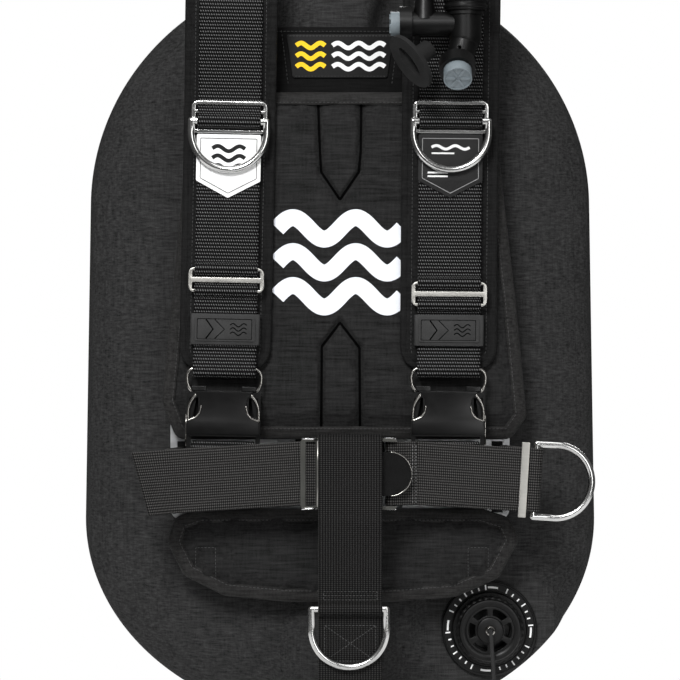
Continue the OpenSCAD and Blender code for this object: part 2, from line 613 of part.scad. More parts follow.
module mouthpiece() {
    color(rubber_grey) union() {
        at_mouth() {
            difference() {
                union() {
                    linear_extrude(height = 4, center = true) polygon(
                        [for (i = [0:31]) [23.5 * cos(11.25 * i), 13 * sin(11.25 * i)]]);
                    translate([0, 0, -21]) cylinder(r = 8.4, h = 21);
                }
                linear_extrude(height = 50, center = true) polygon(
                    [for (i = [0:31]) [13.5 * cos(11.25 * i), 4.4 * sin(11.25 * i)]]);
            }
        }
    }
}
module inflator_nipple() {
    color(steel) difference() {
        union() {
            rod_z(66, tube_y, 5.6, 267.8, 272);
            rod_z(66, tube_y, 4.2, 272, 290);
        }
        difference() {
            rod_z(66, tube_y, 6, 280, 282.6);
            rod_z(66, tube_y, 3.3, 279, 284);
        }
        rod_z(66, tube_y, 1.6, 274, 300);
    }
}

// ---- Dump valve ----
valve_x = seat_valve[0];
valve_z = seat_valve[1];
flange_y = seat_valve_y - 1;
module dump_valve_base() {
    color(plastic_black) difference() {
        union() {
            rod_y(valve_x, valve_z, 38.5, flange_y - 2.6, flange_y);
            rod_y(valve_x, valve_z, 29.5, flange_y - 7, flange_y);
            rod_y(valve_x, valve_z, 20, flange_y - 1, 5);
            rod_y(valve_x, valve_z, 28, 2.2, 5);
        }
        rod_y(valve_x, valve_z, 16, -30, 0);
        rod_y(valve_x, valve_z, 11, -30, 20);
    }
}
cap_front = -24;
module dump_valve_cap() {
    color(plastic_black) difference() {
        union() {
            rod_y(valve_x, valve_z, 27, cap_front + 2, flange_y - 7.2);
            rod_y(valve_x, valve_z, 25, cap_front, cap_front + 3);
            rod_y(valve_x, valve_z, 7, cap_front - 3, cap_front + 3);
            for (i = [0:29]) translate([valve_x, 0, valve_z]) rotate([0, 12 * i, 0])
                rod_y(27, 0, 1.1, cap_front + 3, flange_y - 7.4);
        }
        rod_y(valve_x, valve_z, 22, cap_front + 3, 0);
        rod_y(valve_x, valve_z, 2.6, -40, 0);
        for (i = [0:5]) translate([valve_x, 0, valve_z]) rotate([0, 60 * i, 0])
            box([10, cap_front - 5, -2.4], [20, cap_front + 4, 2.4]);
    }
}
module dump_poppet() {
    color(rubber_grey) union() {
        rod_y(valve_x, valve_z, 15.2, -2.2, -0.15);
        rod_y(valve_x, valve_z, 2.1, cap_front - 5, -2);
    }
}
spring_turns = 4;
module dump_spring() {
    color(steel) difference() {
        rod_y(valve_x, valve_z, 6.6, cap_front + 3.4, -8.4);
        rod_y(valve_x, valve_z, 5.4, -40, 0);
        // Gaps between the turns
        for (i = [0:spring_turns - 1]) for (s = [-1, 1])
            box([valve_x - 8 * (s + 1) / 2, cap_front + 5 + 2.6 * i, valve_z - 8],
                [valve_x + 8 * (1 - s) / 2, cap_front + 6.2 + 2.6 * i, valve_z + (s > 0 ? 3 : -3)]);
    }
}
cord_r = 1.5;
cord_path = [[120.5, -29, -234], [120.5, -31.6, -234], [120.6, -34.2, -235.8], [121, -35.4, -240],
    [121.4, -35.4, -247], [122, -35, -255], [122.6, -34.4, -264], [123, -34, -274], [123.4, -33.6, -284],
    [123.8, -33.2, -294], [124, -33, -304], [124, -33, -314]];
module pull_cord() { color(webbing_black) swept_tube(cord_path, cord_r, 8, [1, 0, 0]); }
module pull_knob() {
    color(plastic_black) translate([124, -33, 0]) union() {
        translate([0, 0, -332]) cylinder(r = 6, h = 12);
        translate([0, 0, -320]) cylinder(r1 = 6, r2 = 3.4, h = 6);
        translate([0, 0, -332]) sphere(r = 6);
    }
}

// ---- Tank bands ----
band_t = 2.4;
band_w = 50;
buckle_turn = 62;               // where the buckle sits round the tank
band_mid = tank_r + band_t / 2;
leg_turn = 25.3;                // angle from the tank's front to where the band leaves it
// The band's front runs through the plate's slots and across its channel
function leg_side(s) = [[s * 33.6, 7], [s * 31.4, 1.5], [s * 28.6, -4.6], [s * 24, -8.2], [s * 16, -9]];
band_front = concat(arc([0, tank_y], band_mid, 270 - leg_turn - 3, 270 - leg_turn, 2), leg_side(-1),
    backwards(leg_side(1)), arc([0, tank_y], band_mid, 270 + leg_turn, 270 + leg_turn + 3, 2));
module tank_band(z) {
    translate([0, 0, z]) union() {
        difference() {
            rod_z(0, tank_y, tank_r + band_t, -band_w / 2, band_w / 2);
            rod_z(0, tank_y, tank_r, -band_w, band_w);
            box([-40, -20, -band_w], [40, 40, band_w]);
        }
        strap_xy(band_front, band_w, band_t);
    }
}
module tank_bands() {
    color(webbing_black) {
        tank_band(band_z);
        tank_band(-band_z);
    }
}
module on_band(z) { translate([0, tank_y, z]) rotate([0, 0, buckle_turn]) translate([tank_r + band_t + 0.6, 0, 0]) children(); }
lever_pin = [8.4, -21];
module tank_buckle(z) {
    on_band(z) difference() {
        union() {
            box([0, -27, -29], [4.4, 27, 29]);
            for (s = [-1, 1]) box([0, -26, s * 27.2 - 1.8], [12.4, 2, s * 27.2 + 1.8]);
            translate([lever_pin[0], lever_pin[1], -29]) cylinder(r = 2, h = 58);
        }
        box([-1, -13, -25.2], [6, -5, 25.2]);
        box([-1, 8, -25.2], [6, 16, 25.2]);
    }
}
module tank_buckles() {
    color(plastic_black) {
        tank_buckle(band_z);
        tank_buckle(-band_z);
    }
}
module tank_lever(z) {
    color(rubber_grey) on_band(z) difference() {
        union() {
            translate([lever_pin[0], lever_pin[1], -25]) cylinder(r = 3.6, h = 50);
            box([7.4, lever_pin[1], -24], [11.6, 25, 24]);
            translate([9.5, 25, -24]) cylinder(r = 2.1, h = 48);
        }
        translate([lever_pin[0], lever_pin[1], -30]) cylinder(r = 2.1, h = 60);
    }
}

backplate();
wing_shell_front();
wing_shell_back();
bladder_front();
bladder_back();
wing_center_panel();
wing_grommets();
back_pad();
neck_panel();
neck_label();
lumbar_pad();
on_left() shoulder_pad(74);  // shoulder_pad_left
on_right() shoulder_pad(70);  // shoulder_pad_right
on_left() shoulder_webbing(triglide_z_left);  // shoulder_webbing_left
on_right() shoulder_webbing(triglide_z_right);  // shoulder_webbing_right
lower_webbing();
waist_webbing_left();
waist_webbing_right();
crotch_strap();
on_left() shoulder_slider();  // shoulder_slider_left
on_right() shoulder_slider();  // shoulder_slider_right
on_left() shoulder_ring();  // shoulder_ring_left
on_right() shoulder_ring();  // shoulder_ring_right
on_left() ring_patch([0.22, 0.23, 0.24]);  // ring_patch_left
on_right() ring_patch([0.93, 0.93, 0.93]);  // ring_patch_right
on_left() triglide(triglide_z_left);  // triglide_left
on_right() triglide(triglide_z_right);  // triglide_right
on_left() keeper(6.8);  // keeper_left
on_right() keeper(7.7);  // keeper_right
on_left() buckle_upper();  // buckle_upper_left
on_right() buckle_upper();  // buckle_upper_right
on_left() buckle_lower();  // buckle_lower_left
on_right() buckle_lower();  // buckle_lower_right
on_left() buckle_tab(1);  // buckle_tab_left_outer
on_left() buckle_tab(-1);  // buckle_tab_left_inner
on_right() buckle_tab(-1);  // buckle_tab_right_outer
on_right() buckle_tab(1);  // buckle_tab_right_inner
waist_buckle_frame();
waist_buckle_lever();
waist_ring_loop();
waist_ring();
crotch_ring();
hose_elbow();
corrugated_hose();
hose_cuffs();
inflator_body();
inflate_button();
deflate_button();
mouthpiece();
inflator_nipple();
dump_valve_base();
dump_valve_cap();
dump_poppet();
dump_spring();
pull_cord();
pull_knob();
tank_bands();
tank_buckles();
tank_lever(band_z);  // tank_lever_upper
tank_lever(-band_z);  // tank_lever_lower
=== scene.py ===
"""Looks of a back-mounted buoyancy compensator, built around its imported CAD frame.

Lengths in this file are in millimetres, in the CAD's frame, and become metres in the mesh builders.
X is to the wearer's left, Y is backwards and Z is up."""

import math

import bmesh
import bpy
import numpy as np
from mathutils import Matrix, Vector
from mathutils.bvhtree import BVHTree


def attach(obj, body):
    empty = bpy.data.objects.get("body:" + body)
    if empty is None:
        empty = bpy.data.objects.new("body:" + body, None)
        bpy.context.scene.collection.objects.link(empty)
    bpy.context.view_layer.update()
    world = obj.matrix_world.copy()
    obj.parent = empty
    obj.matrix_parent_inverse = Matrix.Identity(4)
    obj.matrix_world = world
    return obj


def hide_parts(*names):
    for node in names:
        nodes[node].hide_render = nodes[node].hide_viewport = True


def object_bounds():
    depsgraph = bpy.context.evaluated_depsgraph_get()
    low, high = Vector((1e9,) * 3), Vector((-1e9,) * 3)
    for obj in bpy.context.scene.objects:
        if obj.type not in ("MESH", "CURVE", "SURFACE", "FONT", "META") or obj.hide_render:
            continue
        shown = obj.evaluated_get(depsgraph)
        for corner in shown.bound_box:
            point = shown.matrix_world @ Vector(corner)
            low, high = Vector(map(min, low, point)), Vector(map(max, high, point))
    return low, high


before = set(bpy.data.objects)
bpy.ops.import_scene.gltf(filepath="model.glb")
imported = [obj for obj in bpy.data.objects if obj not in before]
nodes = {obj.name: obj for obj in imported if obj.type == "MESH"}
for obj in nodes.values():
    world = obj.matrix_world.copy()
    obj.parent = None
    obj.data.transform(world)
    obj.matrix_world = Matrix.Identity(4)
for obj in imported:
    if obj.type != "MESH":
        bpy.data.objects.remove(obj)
cad_lo, cad_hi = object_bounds()
scene = bpy.context.scene
MM = 0.001

# ---- Camera: straight on, 2.6 m from the shoulder straps ----
STRAP_PLANE = -66.0
CAMERA_GAP = 2600.0
FRAME_WIDTH = 537.0             # what the picture spans at the strap plane
SENSOR = 36.0
camera_data = bpy.data.cameras.new("camera")
camera_data.sensor_width = SENSOR
camera_data.lens = SENSOR * CAMERA_GAP / FRAME_WIDTH
camera_data.clip_start, camera_data.clip_end = 0.1, 50
camera = bpy.data.objects.new("camera", camera_data)
camera.location = (0, (STRAP_PLANE - CAMERA_GAP) * MM, -0.0008)
camera.rotation_euler = (math.pi / 2, 0, 0)
scene.collection.objects.link(camera)
scene.camera = camera


# ---- Numbers ----
def unit(v):
    v = np.asarray(v, float)
    return v / np.maximum(np.linalg.norm(v, axis=-1, keepdims=True), 1e-12)


def smooth01(t):
    t = np.clip(t, 0, 1)
    return t * t * (3 - 2 * t)


def arc(c, r, a0, a1, n):
    a = np.radians(np.linspace(a0, a1, n + 1))
    return np.stack([c[0] + r * np.cos(a), c[1] + r * np.sin(a)], 1).tolist()


def lengths(p, closed=False):
    """Length along the points p at each of them, with the closing step too if closed."""
    q = np.concatenate([p, p[:1]]) if closed else p
    return np.concatenate([[0], np.cumsum(np.linalg.norm(np.diff(q, axis=0), axis=1))])


def resample(p, step, closed=False):
    p = np.asarray(p, float)
    s = lengths(p, closed)
    q = np.concatenate([p, p[:1]]) if closed else p
    n = max(2, int(math.ceil(s[-1] / step)))
    at = np.linspace(0, s[-1], n + 1)
    at = at[:-1] if closed else at
    return np.stack([np.interp(at, s, q[:, k]) for k in range(p.shape[1])], 1)


def eased(p, step=2.0, reach=2.0, closed=False):
    """The path p with its corners softened over about reach, sampled every step."""
    q = resample(p, 0.8, closed)
    rounds = int(round((reach / 0.8) ** 2 * 2))
    for _ in range(rounds):
        if closed:
            q = (np.roll(q, 1, 0) + 2 * q + np.roll(q, -1, 0)) / 4
        else:
            q[1:-1] = (q[:-2] + 2 * q[1:-1] + q[2:]) / 4
    return resample(q, step, closed)


def rounded(points, radius, n=6):
    """A closed outline with its corners rounded."""
    p = np.asarray(points, float)
    out = []
    for i in range(len(p)):
        a, b, c = p[i - 1], p[i], p[(i + 1) % len(p)]
        u, v = unit(a - b), unit(c - b)
        half = math.acos(np.clip(u @ v, -1, 1)) / 2
        mid = b + unit(u + v) * radius / math.sin(half)
        s = b + u * radius / math.tan(half) - mid
        e = b + v * radius / math.tan(half) - mid
        a0 = math.degrees(math.atan2(s[1], s[0]))
        turn = (math.degrees(math.atan2(e[1], e[0])) - a0 + 540) % 360 - 180
        out += arc(mid, radius, a0, a0 + turn, n)
    return out


def edge_distance(pts, line, closed=True):
    """Distance of each of pts from the line, and the length along the line of the nearest point."""
    line = np.asarray(line, float)
    a = line
    b = np.roll(line, -1, 0) if closed else line[1:]
    if not closed:
        a = line[:-1]
    start = lengths(line, closed)[: len(a)]
    best = np.full(len(pts), 1e9)
    at = np.zeros(len(pts))
    for i in range(len(a)):
        d = b[i] - a[i]
        size = math.hypot(*d)
        if size < 1e-9:
            continue
        t = np.clip((pts - a[i]) @ d / size**2, 0, 1)
        dist = np.linalg.norm(pts - a[i] - t[:, None] * d, axis=1)
        near = dist < best
        best[near] = dist[near]
        at[near] = start[i] + t[near] * size
    return best, at


def ripple(s, wave, seed):
    """A smooth uneven wave along s."""
    rng = np.random.default_rng(seed)
    out = np.zeros(len(s))
    for k in range(5):
        f = (0.55 + 0.28 * k) / wave
        out += math.cos(k) * np.sin(2 * math.pi * (s * f + rng.random())) * (1 - 0.12 * k)
    return out / 2.4


def lumps(p, size, seed):
    """Smooth uneven lumps over the points p, about -1 to 1."""
    rng = np.random.default_rng(seed)
    out = np.zeros(len(p))
    for _ in range(9):
        d = unit(rng.normal(size=p.shape[1])) * (0.6 + 0.8 * rng.random()) / size
        out += np.sin(2 * math.pi * (p @ d + rng.random()))
    return out / 4.2


# The straps' own small leans, as in the CAD
def leaning(x0, z0, degrees):
    a = math.radians(degrees)

    def place(p):
        p = np.asarray(p, float).copy()
        x, z = p[:, 0] - x0, p[:, 2] - z0
        p[:, 0] = x0 + x * math.cos(a) + z * math.sin(a)
        p[:, 2] = z0 - x * math.sin(a) + z * math.cos(a)
        return p

    return place


def hung(x0, degrees):
    """Placed on a shoulder strap: x is measured from the strap's middle."""
    turn = leaning(0, 0, degrees)
    return lambda p: turn(p) + [x0, 0, 0]


STRAP_X = {"left": 86.1, "right": -91.0}
on_left, on_right = hung(STRAP_X["left"], 0.5), hung(STRAP_X["right"], 1.15)
ON = {"left": on_left, "right": on_right}
BELT_Z = -105.5
belt_left, belt_right = leaning(62, BELT_Z, 3.5), leaning(-31, BELT_Z, -3.5)


# ---- Materials ----
class Mat:
    """A material on one Principled BSDF, with short names for its node making."""

    def __init__(self, name, **sockets):
        self.made = bpy.data.materials.new(name)
        self.made.use_nodes = True
        self.tree = self.made.node_tree
        self.shader = self.tree.nodes["Principled BSDF"]
        for k, v in sockets.items():
            socket = self.shader.inputs[k.replace("_", " ")]
            socket.default_value = (*v, 1) if isinstance(v, tuple) else v

    def node(self, kind, **values):
        n = self.tree.nodes.new("ShaderNode" + kind)
        for k, v in values.items():
            setattr(n, k, v)
        return n

    def put(self, socket, value):
        if isinstance(value, bpy.types.NodeSocket):
            self.tree.links.new(value, socket)
        else:
            socket.default_value = value

    def math(self, op, a, b=0.0, c=0.0):
        n = self.node("Math", operation=op)
        for i, v in enumerate((a, b, c)):
            self.put(n.inputs[i], v)
        return n.outputs[0]

    def wave(self, x, pitch, phase=0.0):
        """0 to 1 along x, once for each pitch."""
        turn = self.math("MULTIPLY_ADD", x, 2 * math.pi / pitch, phase)
        return self.math("MULTIPLY_ADD", self.math("SINE", turn), 0.5, 0.5)

    def object_xyz(self):
        c = self.node("TexCoord")
        s = self.node("SeparateXYZ")
        self.put(s.inputs[0], c.outputs["Object"])
        return s.outputs

    def uv(self):
        c = self.node("UVMap", uv_map="along")
        s = self.node("SeparateXYZ")
        self.put(s.inputs[0], c.outputs[0])
        return s.outputs[0], s.outputs[1]

    def noise(self, scale, detail=2.0, rough=0.5, stretch=None):
        n = self.node("TexNoise")
        c = self.node("TexCoord").outputs["Object"]
        if stretch:
            m = self.node("Mapping")
            m.inputs["Scale"].default_value = stretch
            self.put(m.inputs[0], c)
            c = m.outputs[0]
        self.put(n.inputs["Vector"], c)
        n.inputs["Scale"].default_value = scale
        n.inputs["Detail"].default_value = detail
        n.inputs["Roughness"].default_value = rough
        return n.outputs["Fac"]

    def ramp(self, value, *stops):
        n = self.node("ValToRGB")
        self.put(n.inputs[0], value)
        while len(n.color_ramp.elements) < len(stops):
            n.color_ramp.elements.new(0.5)
        for e, (at, colour) in zip(n.color_ramp.elements, stops):
            e.position = at
            e.color = (*colour, 1) if isinstance(colour, tuple) else (colour, colour, colour, 1)
        return n.outputs["Color"]

    def colour(self, value):
        self.put(self.shader.inputs["Base Color"], value)

    def rough(self, value, low, high):
        n = self.node("MapRange")
        self.put(n.inputs[0], value)
        n.inputs["To Min"].default_value, n.inputs["To Max"].default_value = low, high
        self.put(self.shader.inputs["Roughness"], n.outputs[0])

    def bump(self, height, depth_mm, strength=1.0):
        """Adds a bump of depth_mm to those already there."""
        n = self.node("Bump")
        n.inputs["Strength"].default_value = strength
        n.inputs["Distance"].default_value = depth_mm * MM
        self.put(n.inputs["Height"], height)
        normal = self.shader.inputs["Normal"]
        if normal.is_linked:
            self.put(n.inputs["Normal"], normal.links[0].from_socket)
        self.put(normal, n.outputs[0])


def tone(v):
    """Linear value of a screen grey from 0 to 255."""
    v = v / 255
    return v / 12.92 if v < 0.04045 else ((v + 0.055) / 1.055) ** 2.4


def woven(name, dark, light, pitch, sheen, rough=(0.62, 0.8), depth=0.09, crease=0.35):
    """A plain-woven fabric, its threads along the object's X and Z, some of them thicker or paler."""
    m = Mat(name, Sheen_Weight=sheen, Sheen_Roughness=0.45, Specular_IOR_Level=0.07)
    x, y, z = m.object_xyz()
    across = m.wave(m.math("MULTIPLY_ADD", y, 0.35, x), pitch * MM)
    along = m.wave(m.math("MULTIPLY_ADD", y, 0.8, z), pitch * MM)
    over = m.math("MULTIPLY", across, along)
    under = m.math("MULTIPLY", m.math("SUBTRACT", 1, across), m.math("SUBTRACT", 1, along))
    weave = m.math("ADD", over, under)
    slub = m.noise(700, 2, 0.6, (0.07, 1, 1))
    warp = m.noise(700, 2, 0.6, (1, 1, 0.1))
    grain = m.noise(1500, 2, 0.7)
    cloud = m.noise(35, 3, 0.6)
    tint = m.math("MULTIPLY_ADD", slub, 0.55,
                  m.math("MULTIPLY_ADD", warp, 0.25, m.math("MULTIPLY", grain, 0.3)))
    # The weave's relief also tints the colour, darker where the threads dip: painted shade. Slub, warp, grain
    # and cloud are the threads' own uneven tone.
    tint = m.math("MULTIPLY_ADD", weave, 0.14, m.math("MULTIPLY_ADD", cloud, 0.08, tint))
    m.colour(m.ramp(tint, (0.42, dark), (0.9, light)))
    m.rough(m.noise(30, 3), *rough)
    m.bump(m.noise(22, 4, 0.6), crease)
    m.bump(m.math("MULTIPLY_ADD", slub, 1.2, m.math("MULTIPLY_ADD", grain, 0.6, weave)), depth)
    return m.made


def webbing(name, dark, light, twisted):
    """Strap weave from the strap's own UVs: u across and v along, in metres."""
    m = Mat(name, Sheen_Weight=0.01, Sheen_Roughness=0.4, Specular_IOR_Level=0.08)
    u, v = m.uv()
    if twisted:
        # Rows of slanted cords; the colour follows their height, so the black gaps between them are painted
        # shade
        row = m.math("POWER", m.wave(v, 2.7 * MM), 1.5)
        cords = m.wave(m.math("MULTIPLY_ADD", v, -0.36, u), 1.9 * MM)
        height = m.math("MULTIPLY", row, cords)
        deep = 0.6
    else:
        # Fine ribs across, with narrow cords along
        row = m.wave(v, 1.6 * MM)
        cords = m.wave(u, 2.1 * MM)
        height = m.math("MULTIPLY_ADD", row, 0.3, m.math("MULTIPLY", cords, 0.3))
        height = m.math("MULTIPLY_ADD", m.math("MULTIPLY", row, cords), 0.4, height)
        deep = 0.42
    fuzz = m.noise(1500, 2, 0.6)
    wear = m.noise(45, 3, 0.6)
    # The colour follows the weave's height, dark in the gaps and pale on the raised cords: painted shade and
    # light. Fuzz and wear are the strap's own uneven tone.
    tint = m.math("MULTIPLY_ADD", fuzz, 0.16, m.math("MULTIPLY", height, 0.92))
    tint = m.math("MULTIPLY_ADD", wear, 0.08, tint)
    m.colour(m.ramp(tint, (0.22, dark), (0.6, tuple(0.35 * (a + b) for a, b in zip(dark, light))),
                    (0.95, light)))
    m.rough(wear, 0.55, 0.72)
    m.bump(height, deep)
    m.bump(fuzz, 0.06)
    return m.made


def metal(name, colour, rough, brushed=0.0):
    m = Mat(name, Metallic=1.0, Base_Color=colour)
    streak = m.noise(700, 3, 0.6, (0.08, 1, 1) if brushed else None)
    smudge = m.noise(60, 3, 0.6)
    m.rough(m.math("MULTIPLY_ADD", streak, 0.5, m.math("MULTIPLY", smudge, 0.5)), *rough)
    shade = m.math("MULTIPLY_ADD", smudge, 0.4, m.math("MULTIPLY", streak, 0.6))
    m.colour(m.ramp(shade, (0.2, tuple(c * 0.82 for c in colour)), (0.8, colour)))
    m.bump(streak, 0.02 + brushed)
    m.bump(m.noise(140, 2), 0.03)
    return m.made


def moulded(name, dark, light, rough, grain=0.05, coat=0.0, gloss=0.16):
    """Moulded plastic or rubber with a fine spark-eroded grain and slight scuffs."""
    m = Mat(name, Coat_Weight=coat, Coat_Roughness=0.25, Specular_IOR_Level=gloss)
    speck = m.noise(2200, 2, 0.6)
    scuff = m.noise(90, 4, 0.65)
    m.colour(m.ramp(m.math("MULTIPLY_ADD", speck, 0.4, m.math("MULTIPLY", scuff, 0.6)), (0.25, dark),
                    (0.8, light)))
    m.rough(scuff, *rough)
    m.bump(speck, grain)
    m.bump(m.noise(160, 2), 0.05)
    return m.made


def grey(v, warm=1.0):
    t = tone(v)
    return (t * warm, t, t / warm)


CELL = woven("cell_cloth", grey(2), grey(60), 0.62, 0.015, depth=0.08, crease=0.5)
PAD = woven("pad_cloth", grey(2), grey(46), 0.85, 0.01, depth=0.1, crease=0.4)
PADDED_DARK = woven("shoulder_cloth", grey(2), grey(34), 0.8, 0.01, depth=0.1, crease=0.3)
# A darker copy of the cloth for the neck panel, which lies in shade: painted shade.
NECK_SHADED = woven("neck_cloth_painted_shade", grey(1), grey(20), 0.8, 0.01, depth=0.08, crease=0.4)
TAPE = woven("binding_tape", grey(4, 1.02), grey(54, 1.02), 1.15, 0.02, rough=(0.6, 0.75), depth=0.16,
             crease=0.3)
CORDS = webbing("webbing_shoulder", grey(0), grey(114), True)
BELT = webbing("webbing_belt", grey(2, 1.01), grey(78, 1.03), False)
CROTCH = webbing("webbing_crotch", grey(0, 1.01), grey(50, 1.02), False)
STEEL = metal("steel_polished", (0.62, 0.62, 0.61), (0.12, 0.26))
STEEL_SATIN = metal("steel_satin", (0.5, 0.49, 0.46), (0.28, 0.42), 0.02)
PLATE = metal("steel_plate", (0.72, 0.73, 0.74), (0.24, 0.42), 0.02)
CHROME = metal("chrome", (0.9, 0.9, 0.9), (0.05, 0.14))
BUCKLE = moulded("buckle_black", grey(3), grey(15), (0.28, 0.44), 0.03, 0.15)
BUCKLE_EDGE = moulded("buckle_polished", grey(6), grey(20), (0.12, 0.2), 0.01, 0.4)
BUCKLE_RIM = metal("buckle_rim", (0.34, 0.33, 0.31), (0.16, 0.28))
# A darker copy of the steel, for the waist frame's inside that the webbing shades: painted shade.
STEEL_SHADED = metal("steel_painted_shade", (0.14, 0.14, 0.13), (0.25, 0.4))
PLASTIC = moulded("plastic_black", grey(2), grey(14), (0.36, 0.52), 0.06, 0.08)
RUBBER = moulded("rubber_dark", grey(20), grey(42), (0.5, 0.68), 0.08)
HOSE = moulded("rubber_hose", grey(8), grey(28), (0.4, 0.55), 0.05)
KEEPER = moulded("rubber_keeper", grey(34), grey(56), (0.5, 0.66), 0.08)
# Near-black strips laid in channels and grooves for the shade down in them: painted shade.
GROOVE_SHADE = moulded("painted_groove_shade", grey(0), grey(4), (0.6, 0.75), 0.02, gloss=0.02)
BUTTON = moulded("button_grey", (0.105, 0.13, 0.145), (0.23, 0.262, 0.28), (0.4, 0.52), 0.05, 0.1)
WHITE = moulded("patch_white", grey(226), grey(252), (0.45, 0.6), 0.04)
GREY_PATCH = moulded("patch_grey", grey(20), grey(36), (0.5, 0.65), 0.07)
INK = moulded("mark_dark", grey(14), grey(28), (0.5, 0.6), 0.02)
INK_GREY = moulded("mark_grey", grey(112), grey(150), (0.5, 0.6), 0.02)
INK_WHITE = moulded("mark_white", grey(205), grey(240), (0.5, 0.62), 0.05)
INK_YELLOW = moulded("mark_yellow", (0.78, 0.46, 0.008), (0.9, 0.6, 0.02), (0.4, 0.55), 0.04)
THREAD = moulded("thread_black", grey(40), grey(96), (0.55, 0.7), 0.03)
THREAD_PALE = moulded("thread_pale", grey(70), grey(150), (0.55, 0.7), 0.03)
THREAD_DARK = moulded("thread_dark", grey(12), grey(44), (0.55, 0.7), 0.03)
LINER = moulded("urethane", (0.03, 0.035, 0.045), (0.06, 0.07, 0.085), (0.35, 0.5), 0.03)


def emblem_material():
    """A white flocked print with a fine speckle."""
    m = Mat("emblem_print", Specular_IOR_Level=0.3)
    speck = m.noise(3200, 2, 0.6)
    soft = m.noise(60, 3, 0.6)
    m.colour(m.ramp(m.math("MULTIPLY_ADD", speck, 0.5, m.math("MULTIPLY", soft, 0.5)),
                    (0.25, (0.62, 0.64, 0.69)), (0.7, (0.83, 0.85, 0.9))))
    m.rough(speck, 0.55, 0.75)
    m.bump(speck, 0.08)
    return m.made


EMBLEM = emblem_material()


# ---- Mesh builders ----
def piece(name, co, faces, material, body="root", slot=None, replaces=(), uvs=None, smooth=True):
    """A mesh piece from points in millimetres that rides on a body."""
    me = bpy.data.meshes.new(name)
    me.from_pydata((np.asarray(co, float).reshape(-1, 3) * MM).tolist(), [], [list(f) for f in faces])
    if uvs is not None:
        layer = me.uv_layers.new(name="along")
        layer.data.foreach_set("uv", np.asarray(uvs, np.float32).ravel())
    me.polygons.foreach_set("use_smooth", [smooth] * len(me.polygons))
    me.materials.append(material)
    me.validate()
    o = bpy.data.objects.new(name, me)
    scene.collection.objects.link(o)
    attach(o, body)
    if replaces:
        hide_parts(*replaces)
    return o


def grid_faces(nu, nv, wrap_u=False, wrap_v=False):
    """Quads over a grid, and the (u, v) index of each face corner before wrapping."""
    i, j = np.meshgrid(np.arange(nu if wrap_u else nu - 1), np.arange(nv if wrap_v else nv - 1),
                       indexing="ij")
    ci = np.stack([i, i + 1, i + 1, i], -1).reshape(-1, 4)
    cj = np.stack([j, j, j + 1, j + 1], -1).reshape(-1, 4)
    return (ci % nu) * nv + cj % nv, ci, cj


def smooth_by_angle(o, degrees=35):
    """Keeps edges sharper than this in the shading."""
    o.data.set_sharp_from_angle(angle=math.radians(degrees))


def swept(name, path, across, section, material, closed=False, place=None, wander=0.0, seed=1, **kw):
    """Sweeps a section of (across, outwards, u) points along a path.

    across is the section's fixed side direction."""
    p = np.asarray(path, float)
    n, m = len(p), len(section)
    if closed:
        t = unit(np.roll(p, -1, 0) - np.roll(p, 1, 0))
    else:
        t = unit(np.gradient(p, axis=0))
    across = np.broadcast_to(unit(across), p.shape)
    out = unit(np.cross(across, t))
    s = np.asarray(section, float)
    co = p[:, None] + across[:, None] * s[None, :, 0:1] + out[:, None] * s[None, :, 1:2]
    v = lengths(p, closed)
    if wander:
        # Low uneven waves, the same on both faces so that the strap keeps its thickness
        flat = np.stack([np.repeat(v[:n, None], m, 1), np.repeat(s[None, :, 0], n, 0)], -1).reshape(-1, 2)
        co += out[:, None] * (wander * lumps(flat, 38, seed)).reshape(n, m, 1)
    faces, ci, cj = grid_faces(n, m, closed, True)
    u = np.append(s[:, 2], s[0, 2])
    uvs = np.stack([u[cj] * MM, v[ci] * MM], -1)
    faces = faces.tolist()
    uvs = uvs.reshape(-1, 2).tolist()
    if not closed:
        for k, ring in ((0, range(m)), (n - 1, range(m - 1, -1, -1))):
            faces.append([k * m + j for j in ring])
            uvs += [(s[j, 2] * MM, v[k] * MM) for j in ring]
    co = co.reshape(-1, 3)
    return piece(name, place(co) if place else co, faces, material, uvs=uvs, **kw)


def flat_section(width, thick, n=16, edge=0.55):
    """A flat strap's section with rounded sides."""
    w, h = width / 2, thick / 2
    xs = np.linspace(-w + edge, w - edge, n)
    top = [(x, h, x) for x in xs]
    low = [(x, -h, x) for x in xs[::-1]]
    return top + [(w - 0.12, h * 0.55, w), (w, 0, w), (w - 0.12, -h * 0.55, w)] + low + [
        (-w + 0.12, -h * 0.55, -w), (-w, 0, -w), (-w + 0.12, h * 0.55, -w)]


def tube(name, path, radius, material, sides=12, closed=False, place=None, **kw):
    """A round tube whose radius may change along the path; its frame turns with the path."""
    p = np.asarray(path, float)
    n = len(p)
    r = np.broadcast_to(np.asarray(radius, float), (n,))
    t = unit(np.roll(p, -1, 0) - np.roll(p, 1, 0)) if closed else unit(np.gradient(p, axis=0))
    ref = np.array([0.31, 0.85, 0.42])
    side = np.zeros_like(p)
    prev = unit(np.cross(t[0], ref))
    for i in range(n):
        prev = unit(prev - t[i] * (prev @ t[i]))
        side[i] = prev
    up = np.cross(t, side)
    a = np.linspace(0, 2 * math.pi, sides, endpoint=False)
    co = p[:, None] + r[:, None, None] * (side[:, None] * np.cos(a)[:, None] + up[:, None]
                                          * np.sin(a)[:, None])
    faces, ci, cj = grid_faces(n, sides, closed, True)
    v = lengths(p, closed)
    uvs = np.stack([cj * (2 * math.pi * float(r.mean()) / sides) * MM, v[ci] * MM], -1).reshape(-1,
            2).tolist()
    faces = faces.tolist()
    if not closed:
        for k, ring in ((0, range(sides)), (n - 1, range(sides - 1, -1, -1))):
            faces.append([k * sides + j for j in ring])
            uvs += [(0, v[k] * MM)] * sides
    co = co.reshape(-1, 3)
    return piece(name, place(co) if place else co, faces, material, uvs=uvs, **kw)


